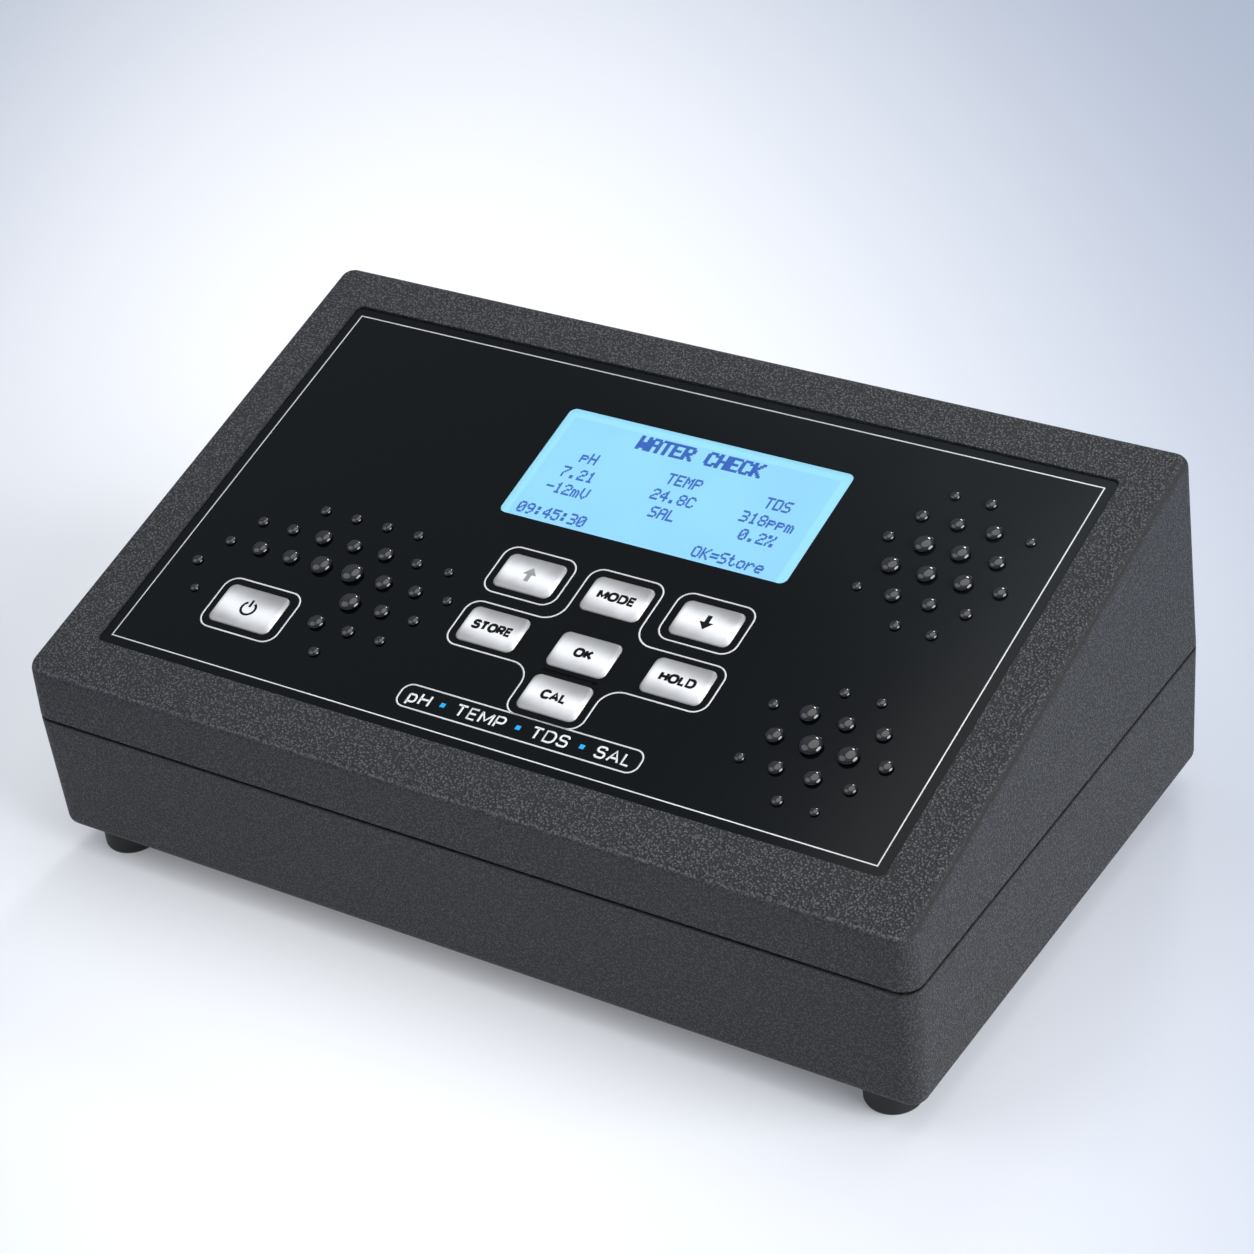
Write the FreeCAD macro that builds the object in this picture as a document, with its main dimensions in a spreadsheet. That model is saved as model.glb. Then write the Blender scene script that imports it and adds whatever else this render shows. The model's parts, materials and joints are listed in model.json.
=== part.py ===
import FreeCAD, Part
import math
import os
import re
import Sketcher
from FreeCAD import Placement, Rotation, Vector

# Benchtop multi-parameter water meter: a wedge-shaped two-part case on four feet, with a
# membrane keypad and a display in its sloped face, and the probe sockets in its rear wall.
# +X is to the right, the low front edge is towards -Y, and Z is 0 under the feet.

# Driving sizes, in millimetres and degrees
SIZES = {
    # Case outline, measured at the parting line and above the feet
    "case_width": 220,
    "case_depth": 130,
    "base_height": 30,
    "front_height": 43.5,
    "back_height": 78,
    "wall_draft": 1.5,
    "wall": 2.8,
    "corner_radius": 4.5,
    "face_edge_radius": 2.2,
    "bottom_edge_radius": 2.4,
    # How far a cutting shape runs on past the face that it opens
    "overrun": 1,
    # Joint between the two shells
    "shadow_gap": 0.4,
    "lip_height": 2,
    "lip_thickness": 1.2,
    "lip_clearance": 0.15,
    # Case screws, and the bosses of the upper shell that reach down to the floor
    "boss_inset_x": 12,
    "boss_inset_y": 25,
    "boss_radius": 4.6,
    "boss_overlap": 6,
    "rib_thickness": 1.6,
    "case_screw_radius": 1.5,
    "case_screw_head": 2.8,
    "case_screw_head_height": 2,
    "case_screw_length": 17,
    "case_screw_tip_room": 1,
    "screw_clearance": 0.2,
    # Feet, bonded to the underside
    "foot_height": 7,
    "foot_radius": 6.2,
    "foot_inset_x": 12,
    "foot_inset_y": 10,
    # Layers of the sloped face, from the case's surface inwards
    "overlay_border_x": 12.25,
    "overlay_border_y": 12.33,
    "overlay_radius": 1.5,
    "overlay_inset": 0.6,
    "overlay_thickness": 0.5,
    "spacer_thickness": 1,
    "circuit_thickness": 0.4,
    "recess_clearance": 0.2,
    "face_floor": 2,
    # Display window and the module behind it
    "display_x": 6.8,
    "display_y": 23.6,
    "window_width": 72.3,
    "window_depth": 32.8,
    "window_radius": 1.8,
    "window_clearance": 0.1,
    "window_setback": 0.1,
    "bezel_border": 3,
    "bezel_sheet": 0.5,
    "bezel_clearance": 0.4,
    "lens_overlap": 2,
    "glass_thickness": 2.2,
    "backlight_thickness": 3.5,
    "display_board_width": 98,
    "display_board_depth": 50,
    "display_hook_x": 36,
    # Keys
    "key_width": 13.1,
    "key_depth": 8,
    "power_key_width": 14.8,
    "power_key_depth": 9.2,
    "key_corner": 1.3,
    "key_proud": 0.45,
    "key_chamfer": 0.5,
    "key_clearance": 0.15,
    "key_flange": 0.8,
    "key_flange_thickness": 0.4,
    "key_gap": 0.05,
    "upper_keys_x": 10.25,
    "upper_keys_y": -7.5,
    "upper_keys_pitch": 22.1,
    "middle_keys_x": 11.3,
    "middle_keys_y": -23.3,
    "middle_keys_pitch": 23,
    "lower_keys_y": -35.5,
    "power_key_x": -68.5,
    # Four-legged snap domes
    "dome_reach": 3,
    "dome_crown": 1.2,
    "dome_leg": 1.4,
    "dome_height": 0.45,
    "dome_sheet": 0.1,
    "dome_foot": 0.5,
    # Boards, and the hooks of the shells that hold them
    "board_thickness": 1.6,
    "board_width": 150,
    "board_depth": 84,
    "board_standoff": 5,
    "board_hook_x": 55,
    "hook_width": 6,
    "hook_shoulder": 1.5,
    "hook_gap": 0.2,
    "hook_arm": 1.4,
    "hook_catch": 0.8,
    "hook_tip": 2,
    # What stands on the main board
    "processor_x": -19,
    "processor_y": -10,
    "processor_side": 12,
    "processor_height": 1.4,
    "processor_lead": 1.2,
    "processor_pin_width": 0.8,
    "processor_pin_height": 0.4,
    "processor_pitch": 2,
    "processor_pins": 5,
    "buzzer_x": 50,
    "buzzer_y": -24,
    "buzzer_side": 12,
    "buzzer_height": 8.5,
    "cell_x": 38,
    "cell_y": 6,
    "cell_radius": 10,
    "cell_height": 3.2,
    "holder_side": 23,
    "holder_height": 4.6,
    "holder_floor": 0.8,
    "regulator_x": 60,
    "regulator_y": 22,
    "regulator_width": 10.2,
    "regulator_depth": 8.8,
    "regulator_height": 4.4,
    "regulator_tab": 1.3,
    "regulator_tab_length": 4.4,
    "capacitor_x": 62,
    "capacitor_y": 4,
    "capacitor_width": 10,
    "capacitor_depth": 6,
    "capacitor_height": 9.5,
    "capacitor_pitch": 11,
    # Flat cables and their connectors
    "connector_width": 24,
    "connector_depth": 4.6,
    "connector_height": 5,
    "cable_width": 20,
    "cable_thickness": 0.3,
    "cable_insertion": 3,
    "cable_bend": 5,
    "tail_x": -40,
    "tail_y": -40,
    "tail_slot": 3,
    "tail_slot_clearance": 1,
    "keypad_cable_y": -38,
    "display_cable_y": -1.85,
    "display_cable_v": 3.2,
    "socket_cable_x": -8,
    "socket_cable_y": 30,
    "socket_cable_drop": 5,
    # Rear sockets on a recessed land, soldered into a board behind them
    "land_width": 172,
    "land_height": 27,
    "land_depth": 3,
    "socket_z": 57,
    "socket_depth": 11,
    "socket_board_width": 156,
    "socket_board_height": 20,
    "hole_clearance": 0.1,
    "nut_thickness": 2.4,
    "shield_side": 18,
    "shield_height": 7,
    "shield_sheet": 0.4,
    "bnc_x": -62,
    "bnc_reach": 14,
    "bnc_flange": 1.6,
    "bnc_flange_radius": 7.2,
    "bnc_barrel": 4.8,
    "bnc_bore": 4.05,
    "bnc_bore_depth": 8,
    "bnc_shank": 4.7,
    "bnc_lug": 0.95,
    "bnc_lug_span": 11,
    "bnc_lug_setback": 4.7,
    "bnc_insulator_radius": 2.4,
    "bnc_insulator_height": 5.4,
    "bnc_contact_radius": 1.05,
    "bnc_contact_height": 1,
    "bnc_nut_radius": 8,
    "probe_x": -20,
    "probe_reach": 9.5,
    "probe_flange": 1.5,
    "probe_flange_radius": 9.6,
    "probe_barrel": 8,
    "probe_bore": 6.6,
    "probe_bore_depth": 7.5,
    "probe_shank": 7.7,
    "probe_nut_radius": 11.2,
    "probe_insert_height": 2,
    "probe_pin": 0.55,
    "probe_pin_circle": 3.9,
    "probe_pin_height": 4.3,
    "probe_pin_count": 6,
    "jack_x": 18,
    "jack_reach": 4.5,
    "jack_shank": 3,
    "jack_bore": 1.8,
    "jack_bore_depth": 14,
    "jack_nut_radius": 4.8,
    "jack_body_width": 9,
    "jack_body_height": 11,
    "inlet_x": 64,
    "inlet_flange": 1.6,
    "inlet_flange_radius": 6.4,
    "inlet_shank": 5.4,
    "inlet_bore": 2.95,
    "inlet_bore_depth": 9,
    "inlet_pin": 1.05,
    "inlet_pin_height": 8.2,
}

# Places and sizes that follow from the driving ones
DERIVED = {
    "parting_z": "foot_height + base_height",
    "rim_z": "parting_z + shadow_gap",
    "front_y": "(front_height - base_height - shadow_gap) * tan(wall_draft) - case_depth / 2",
    "back_y": "case_depth / 2 - (back_height - base_height - shadow_gap) * tan(wall_draft)",
    "front_z": "foot_height + front_height",
    "back_z": "foot_height + back_height",
    "face_angle": "atan((back_z - front_z) / (back_y - front_y))",
    "face_y": "(front_y + back_y) / 2",
    "face_z": "(front_z + back_z) / 2",
    "case_y": "(land_depth - bnc_reach) / 2",
    "land_y": "case_depth / 2 - land_depth",
    "inner_width": "case_width - 2 * wall",
    "inner_depth": "case_depth - 2 * wall",
    "inner_chamfer": "corner_radius - wall",
    "floor_z": "foot_height + wall",
    "lip_inset": "wall - lip_thickness",
    "rebate_inset": "lip_inset - lip_clearance",
    "boss_x": "case_width / 2 - boss_inset_x",
    "boss_y": "case_depth / 2 - boss_inset_y",
    "rib_middle": "1 + case_width / 2 / boss_x",
    "foot_x": "case_width / 2 - foot_inset_x",
    "foot_y": "case_depth / 2 - foot_inset_y",
    "face_length": "(back_y - front_y) / cos(face_angle)",
    "overlay_width": "case_width - 2 * overlay_border_x",
    "overlay_depth": "face_length - 2 * overlay_border_y",
    "overlay_top": "-overlay_inset",
    "overlay_bottom": "overlay_top - overlay_thickness",
    "spacer_bottom": "overlay_bottom - spacer_thickness",
    "recess_bottom": "spacer_bottom - circuit_thickness",
    "face_bottom": "recess_bottom - face_floor",
    "recess_width": "overlay_width + 2 * recess_clearance",
    "recess_depth": "overlay_depth + 2 * recess_clearance",
    "glass_width": "window_width + 2 * bezel_border",
    "glass_depth": "window_depth + 2 * bezel_border",
    "bezel_width": "glass_width + 2 * bezel_sheet",
    "bezel_depth": "glass_depth + 2 * bezel_sheet",
    "module_width": "bezel_width + 2 * bezel_clearance",
    "module_depth": "bezel_depth + 2 * bezel_clearance",
    "lens_width": "module_width + 2 * lens_overlap",
    "lens_depth": "module_depth + 2 * lens_overlap",
    "bezel_top": "spacer_bottom - window_clearance",
    "glass_bottom": "bezel_top - bezel_sheet - glass_thickness",
    "display_board_top": "glass_bottom - backlight_thickness",
    "display_board_bottom": "display_board_top - board_thickness",
    "key_bottom": "overlay_bottom - key_gap - key_flange_thickness",
    "key_top": "overlay_top + key_proud",
    "connector_end": "display_board_bottom - connector_height",
    "board_bottom": "floor_z + board_standoff",
    "board_top": "board_bottom + board_thickness",
    "connector_top": "board_top + connector_height",
    "cable_end": "connector_top - cable_insertion",
    "cable_bend_z": "connector_top + cable_bend",
    "socket_back": "-wall - socket_depth",
    "socket_board_front": "socket_back - board_thickness",
    "socket_connector_end": "socket_board_front - connector_height",
}

# Frames turned about X: the case, the sloped face, and the rear land, whose own Z points out
FRAMES = {
    "case": ("0 deg", "case_y", "0"),
    "face": ("face_angle", "case_y + face_y", "face_z"),
    "rear": ("-90 deg", "case_y + land_y", "socket_z"),
}

KEYS = {
    "up": ("upper_keys_x - upper_keys_pitch", "upper_keys_y", "key_width", "key_depth"),
    "mode": ("upper_keys_x", "upper_keys_y", "key_width", "key_depth"),
    "down": ("upper_keys_x + upper_keys_pitch", "upper_keys_y", "key_width", "key_depth"),
    "store": ("middle_keys_x - middle_keys_pitch", "middle_keys_y", "key_width", "key_depth"),
    "ok": ("middle_keys_x", "middle_keys_y", "key_width", "key_depth"),
    "hold": ("middle_keys_x + middle_keys_pitch", "middle_keys_y", "key_width", "key_depth"),
    "calibrate": ("middle_keys_x", "lower_keys_y", "key_width", "key_depth"),
    "power": ("power_key_x", "lower_keys_y", "power_key_width", "power_key_depth"),
}

SOCKETS = ("bnc", "probe", "jack", "inlet")

doc = FreeCAD.newDocument("BenchMeter")
sheet = doc.addObject("Spreadsheet::Sheet", "sizes")
for row, (word, size) in enumerate(SIZES.items(), 1):
    sheet.set(f"A{row}", word)
    sheet.set(f"B{row}", str(size))
    sheet.setAlias(f"B{row}", word)
doc.recompute()
kept = {}


def bound(text):
    """Spell out the derived words, and point each size's name at its cell of the sheet."""

    def spelled(match):
        word = match.group()
        if word in DERIVED:
            return f"({bound(DERIVED[word])})"
        return f"sizes.{word}" if word in SIZES else word

    return re.sub(r"[a-z][a-z_0-9]*", spelled, text)


def number(text):
    """What an expression comes to with the sheet as it stands."""
    result = sheet.evalExpression(bound(text))
    return getattr(result, "Value", result)


def bind(thing, **expressions):
    for name, text in expressions.items():
        thing.setExpression(name, bound(text))


def place(thing, frame, x="0", y="0", z="0"):
    """Put an object at a point of one of the frames, and turn it with that frame."""
    angle, frame_y, frame_z = FRAMES[frame]
    thing.Placement = Placement(Vector(), Rotation(Vector(1, 0, 0), 1))
    thing.setExpression("Placement.Rotation.Angle", bound(angle))
    thing.setExpression("Placement.Base.x", bound(x))
    shift = f"{frame_y} + ({y}) * cos({angle}) - ({z}) * sin({angle})"
    thing.setExpression("Placement.Base.y", bound(shift))
    shift = f"{frame_z} + ({y}) * sin({angle}) + ({z}) * cos({angle})"
    thing.setExpression("Placement.Base.z", bound(shift))
    return thing


def on_face(y, z):
    """The case's own Y and Z of a point given in the sloped face's frame."""
    along = f"face_y + ({y}) * cos(face_angle) - ({z}) * sin(face_angle)"
    up = f"face_z + ({y}) * sin(face_angle) + ({z}) * cos(face_angle)"
    return along, up


def block(name, frame, width, depth, height, x="0", y="0", z="0"):
    """A box centred on x and y, standing on z."""
    box = doc.addObject("Part::Box", name)
    bind(box, Length=width, Width=depth, Height=height)
    return place(box, frame, f"{x} - ({width}) / 2", f"{y} - ({depth}) / 2", z)


def rod(name, frame, radius, height, x="0", y="0", z="0"):
    """A cylinder standing on z."""
    cylinder = doc.addObject("Part::Cylinder", name)
    bind(cylinder, Radius=radius, Height=height)
    return place(cylinder, frame, x, y, z)


def cut(name, base, *tools):
    result = doc.addObject("Part::Cut", name)
    result.Base = base
    result.Tool = tools[0] if len(tools) == 1 else fuse(f"{name}_tools", *tools)
    result.Refine = True
    return result


def fuse(name, *shapes):
    result = doc.addObject("Part::MultiFuse", name)
    result.Shapes = list(shapes)
    result.Refine = True
    return result


def group(name, *shapes):
    """Separate solids kept together as one sub-part."""
    result = doc.addObject("Part::Compound", name)
    result.Links = list(shapes)
    return result


def keep(node, thing):
    """Name a finished sub-part."""
    thing.Label = node
    kept[node] = thing
    return thing


def sketch_on(body, role, name):
    """A sketch on one of the body's own origin planes."""
    sketch = body.newObject("Sketcher::SketchObject", name)
    plane = next(p for p in body.Origin.OriginFeatures if p.Role == role)
    sketch.AttachmentSupport = [(plane, "")]
    sketch.MapMode = "FlatFace"
    return sketch


def hold(sketch, kind, *where, size):
    """Add a dimension to a sketch and bind it to the sheet."""
    index = sketch.addConstraint(Sketcher.Constraint(kind, *where, number(size)))
    sketch.setExpression(f"Constraints[{index}]", bound(size))


def rounded_rectangle(sketch, width, depth, radius):
    """Four lines and four arcs, centred on the sketch's origin."""
    r = number(radius)
    x = number(width) / 2
    y = number(depth) / 2
    corners = [Vector(x - r, -y + r), Vector(x - r, y - r), Vector(-x + r, y - r), Vector(-x + r, -y + r)]
    outward = [Vector(0, -r), Vector(r, 0), Vector(0, r), Vector(-r, 0)]
    for side in range(4):
        start = corners[side - 1] + outward[side]
        end = corners[side] + outward[side]
        sketch.addGeometry(Part.LineSegment(start, end))
    for side in range(4):
        circle = Part.Circle(corners[side], Vector(0, 0, 1), r)
        turn = math.radians(90 * side - 90)
        sketch.addGeometry(Part.ArcOfCircle(circle, turn, turn + math.radians(90)))
    for side in range(4):
        sketch.addConstraint(Sketcher.Constraint("Tangent", side, 2, side + 4, 1))
        sketch.addConstraint(Sketcher.Constraint("Tangent", side + 4, 2, (side + 1) % 4, 1))
        sketch.addConstraint(Sketcher.Constraint("Vertical" if side % 2 else "Horizontal", side))
        if side:
            sketch.addConstraint(Sketcher.Constraint("Equal", 4, side + 4))
    hold(sketch, "Radius", 4, size=radius)
    hold(sketch, "DistanceX", 3, 1, 1, 1, size=width)
    hold(sketch, "DistanceY", 0, 1, 2, 1, size=depth)
    sketch.addConstraint(Sketcher.Constraint("Symmetric", 0, 1, 2, 1, -1, 1))


def outline(sketch, points):
    """A closed outline of straight lines, each corner held by its two distances."""
    spots = [Vector(number(a), number(b), 0) for a, b in points]
    last = len(spots) - 1
    for index, spot in enumerate(spots):
        sketch.addGeometry(Part.LineSegment(spot, spots[0 if index == last else index + 1]))
    for index, texts in enumerate(points):
        after = 0 if index == last else index + 1
        sketch.addConstraint(Sketcher.Constraint("Coincident", index, 2, after, 1))
        for kind, text, axis in zip(("DistanceX", "DistanceY"), texts, (-2, -1)):
            if text == "0":
                sketch.addConstraint(Sketcher.Constraint("PointOnObject", index, 1, axis))
            else:
                hold(sketch, kind, -1, 1, index, 1, size=text)


def chamfered_rectangle(sketch, width, depth, chamfer):
    """An outline of eight lines, centred on the sketch's origin."""
    far = (f"({width}) / 2", f"({depth}) / 2")
    near = (f"({width}) / 2 - ({chamfer})", f"({depth}) / 2 - ({chamfer})")
    corners = []
    for sign_x, sign_y in (("-", "-"), ("", "-"), ("", ""), ("-", "")):
        ends = [(f"{sign_x}({far[0]})", f"{sign_y}({near[1]})"),
                (f"{sign_x}({near[0]})", f"{sign_y}({far[1]})")]
        corners += ends if sign_x == sign_y else ends[::-1]
    outline(sketch, corners)


def circle_in(sketch, radius):
    """A circle about the sketch's origin."""
    index = sketch.addGeometry(Part.Circle(Vector(), Vector(0, 0, 1), number(radius)))
    sketch.addConstraint(Sketcher.Constraint("Coincident", index, 3, -1, 1))
    hold(sketch, "Radius", index, size=radius)


def pad(body, sketch, length, name, midplane=False):
    feature = body.newObject("PartDesign::Pad", name)
    feature.Profile = sketch
    feature.SideType = "Symmetric" if midplane else "One side"
    bind(feature, Length=length)
    return feature


def plate(name, frame, corner, width, depth, height, radius, x="0", y="0", z="0"):
    """A padded rectangle with rounded or chamfered corners, centred on x and y, standing on z."""
    body = doc.addObject("PartDesign::Body", name)
    sketch = sketch_on(body, "XY_Plane", f"{name}_outline")
    corner(sketch, width, depth, radius)
    pad(body, sketch, height, f"{name}_pad")
    return place(body, frame, x, y, z)


def drafted(name, corner, width, depth, height, radius, z, downwards=False):
    """The same, padded up or down with its walls leaning in by the draft."""
    body = plate(name, "case", corner, width, depth, height, radius, z=z)
    body.Tip.Reversed = downwards
    bind(body.Tip, TaperAngle="-wall_draft")
    return body


def strip(name, frame, width, points, x="0", y="0", z="0", plane="YZ_Plane"):
    """A profile of straight lines, padded both ways across its plane."""
    body = doc.addObject("PartDesign::Body", name)
    sketch = sketch_on(body, plane, f"{name}_outline")
    outline(sketch, points)
    pad(body, sketch, width, f"{name}_pad", midplane=True)
    return place(body, frame, x, y, z)


def turned(name, frame, points, x="0", y="0", z="0"):
    """A profile of radius and height, turned about its own Z."""
    body = doc.addObject("PartDesign::Body", name)
    sketch = sketch_on(body, "XZ_Plane", f"{name}_profile")
    outline(sketch, points)
    feature = body.newObject("PartDesign::Revolution", f"{name}_turned")
    feature.Profile = sketch
    feature.ReferenceAxis = (sketch, ["V_Axis"])
    feature.Angle = 360
    return place(body, frame, x, y, z)


def softened(name, kind, base, size, point, normal):
    """Fillet or chamfer every edge that lies in one plane."""
    doc.recompute()
    edges = []
    for index, edge in enumerate(base.Shape.Edges, 1):
        if all(abs((vertex.Point - point).dot(normal)) < 1e-4 for vertex in edge.Vertexes):
            edges.append((index, number(size), number(size)))
    result = doc.addObject(kind, name)
    result.Base = base
    result.Edges = edges
    return result


def face_plane(height):
    """A point and the normal of the plane at this height above the sloped face."""
    angle = math.radians(number("face_angle"))
    normal = Vector(0, -math.sin(angle), math.cos(angle))
    return Vector(0, number("case_y + face_y"), number("face_z")) + normal * number(height), normal


def four(shape, x, y):
    """One call for each corner of a rectangle about the centre."""
    made = []
    for end, sign_y in (("front", "-"), ("rear", "")):
        for side, sign_x in (("left", "-"), ("right", "")):
            made.append(shape(f"{end}_{side}", f"{sign_x}({x})", f"{sign_y}({y})"))
    return made


def hooks(name, frame, half_depth, hook_x, root, near, far, tip, x="0", y="0"):
    """Two sprung hooks on each long edge of a board: it rests on their shoulders, under their catches."""
    profile = [(f"{half_depth} - hook_shoulder", root), (f"{half_depth} - hook_shoulder", near),
               (f"{half_depth} + hook_gap", near), (f"{half_depth} + hook_gap", far),
               (f"{half_depth} - hook_catch", far), (f"{half_depth} + hook_gap", tip),
               (f"{half_depth} + hook_gap + hook_arm", tip), (f"{half_depth} + hook_gap + hook_arm", root)]
    made = []
    for end, sign in (("front", "-"), ("rear", "")):
        points = [(f"{sign}({across})", up) for across, up in profile]
        for side, shift in (("left", f"{x} - {hook_x}"), ("right", f"{x} + {hook_x}")):
            made.append(strip(f"{name}_{end}_{side}", frame, "hook_width", points, shift, y))
    return made


def make_upper_shell():
    """The wedge: drafted walls, a sloped top with a stepped recess, bosses, hooks and a rear land."""
    blank = drafted("upper_blank", rounded_rectangle, "case_width", "case_depth", "back_z + wall - rim_z",
                    "corner_radius", "rim_z")
    above = block("above_face", "face", "case_width + wall", "2 * case_depth", "back_height")
    wedge = cut("wedge", blank, above)
    outside = softened("wedge_rounded", "Part::Fillet", wedge, "face_edge_radius", *face_plane("0"))

    hollow = drafted("upper_hollow", chamfered_rectangle, "inner_width", "inner_depth", "back_z - parting_z",
                     "inner_chamfer", "parting_z")
    rebate = plate("lip_rebate", "case", rounded_rectangle, "case_width - 2 * rebate_inset",
                   "case_depth - 2 * rebate_inset", "lip_height + lip_clearance",
                   "corner_radius - rebate_inset", z="parting_z")
    above_ceiling = block("above_ceiling", "face", "case_width + wall", "2 * case_depth", "back_height",
                          z="-wall")
    space = cut("upper_space", fuse("upper_hollow_all", hollow, rebate), above_ceiling)
    floor = block("recess_floor", "face", "recess_width + 2 * face_floor", "recess_depth + 2 * face_floor",
                  "-face_bottom", z="face_bottom")
    land_pad = block("land_pad", "rear", "land_width + 2 * wall", "land_height + 2 * wall",
                     "wall + land_depth", z="-wall")

    def boss(tag, x, y):
        return rod(f"boss_{tag}", "case", "boss_radius", "back_height", x, y, "parting_z")

    def rib(tag, x, y):
        return block(f"rib_{tag}", "case", "boss_inset_x", "rib_thickness", "back_height",
                     f"{x} * rib_middle / 2", y, "parting_z + lip_height + wall")

    def boss_foot(tag, x, y):
        return rod(f"boss_foot_{tag}", "case", "boss_radius", "parting_z + boss_overlap - floor_z",
                   x, y, "floor_z")

    def pilot(tag, x, y):
        return rod(f"case_pilot_{tag}", "case", "case_screw_radius",
                   "case_screw_length - wall + case_screw_tip_room", x, y, "floor_z")

    bosses = four(boss, "boss_x", "boss_y")
    ribs = four(rib, "boss_x", "boss_y")
    display_hooks = hooks("display_hook", "face", "display_board_depth / 2", "display_hook_x",
                          "recess_bottom", "display_board_top", "display_board_bottom",
                          "display_board_bottom - hook_tip", "display_x", "display_y")
    solids = fuse("upper_inner_forms", floor, land_pad, *bosses, *ribs, *display_hooks)
    walls = cut("upper_walls", outside, cut("upper_space_left", space, solids))
    shell = fuse("upper_solid", walls, *four(boss_foot, "boss_x", "boss_y"))

    recess = plate("overlay_recess", "face", rounded_rectangle, "recess_width", "recess_depth", "back_height",
                   "overlay_radius + recess_clearance", z="recess_bottom")
    opening = block("display_opening", "face", "module_width", "module_depth", "face_floor + 2 * overrun",
                    "display_x", "display_y", "face_bottom - overrun")
    slot = block("tail_opening", "face", "cable_width + 2 * tail_slot_clearance", "tail_slot",
                 "face_floor + 2 * overrun", "tail_x", "tail_y", "face_bottom - overrun")
    land = block("land_recess", "rear", "land_width", "land_height", "land_depth + overrun")
    pilots = four(pilot, "boss_x", "boss_y")
    holes = [rod(f"{socket}_hole", "rear", f"{socket}_shank + hole_clearance", "wall + 2 * overrun",
                 f"{socket}_x", "0", "-wall - overrun") for socket in SOCKETS]
    keep("upper_shell", cut("upper_case", shell, recess, opening, slot, land, *pilots, *holes))


def make_lower_shell():
    """The tray: drafted walls, the lip, hooks for the main board and holes for the case screws."""
    blank = drafted("lower_blank", rounded_rectangle, "case_width", "case_depth", "base_height",
                    "corner_radius", "parting_z", downwards=True)
    outside = softened("lower_rounded", "Part::Fillet", blank, "bottom_edge_radius",
                       Vector(0, 0, number("foot_height")), Vector(0, 0, 1))
    lip = plate("lip", "case", rounded_rectangle, "case_width - 2 * lip_inset",
                "case_depth - 2 * lip_inset", "lip_height + wall", "corner_radius - lip_inset",
                z="parting_z - wall")
    hollow = drafted("lower_hollow", chamfered_rectangle, "inner_width", "inner_depth",
                     "base_height - wall", "inner_chamfer", "parting_z", downwards=True)
    mouth = plate("lower_mouth", "case", chamfered_rectangle, "inner_width", "inner_depth",
                  "lip_height + overrun", "inner_chamfer", z="parting_z")
    space = fuse("lower_space", hollow, mouth)
    board_hooks = hooks("board_hook", "case", "board_depth / 2", "board_hook_x", "foot_height",
                        "board_bottom", "board_top", "board_top + hook_tip")
    space_left = cut("lower_space_left", space, *board_hooks)

    def passage(tag, x, y):
        return rod(f"screw_passage_{tag}", "case", "case_screw_radius + screw_clearance",
                   "wall + 2 * overrun", x, y, "foot_height - overrun")

    passages = four(passage, "boss_x", "boss_y")
    keep("lower_shell", cut("lower_case", fuse("lower_with_lip", outside, lip), space_left, *passages))


def make_case_screws():
    """Four pan-head screws, driven up through the floor into the bosses."""
    profile = [("0", "-case_screw_head_height"), ("case_screw_head", "-case_screw_head_height"),
               ("case_screw_head", "0"), ("case_screw_radius", "0"),
               ("case_screw_radius", "case_screw_length"), ("0", "case_screw_length")]

    def screw(tag, x, y):
        return turned(f"case_screw_{tag}", "case", profile, x, y, "foot_height")

    keep("case_screws", group("case_screw_set", *four(screw, "boss_x", "boss_y")))


def make_feet():
    """Round rubber feet."""

    def foot(tag, x, y):
        return keep(f"foot_{tag}", rod(f"foot_body_{tag}", "case", "foot_radius", "foot_height", x, y))

    four(foot, "foot_x", "foot_y")


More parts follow.
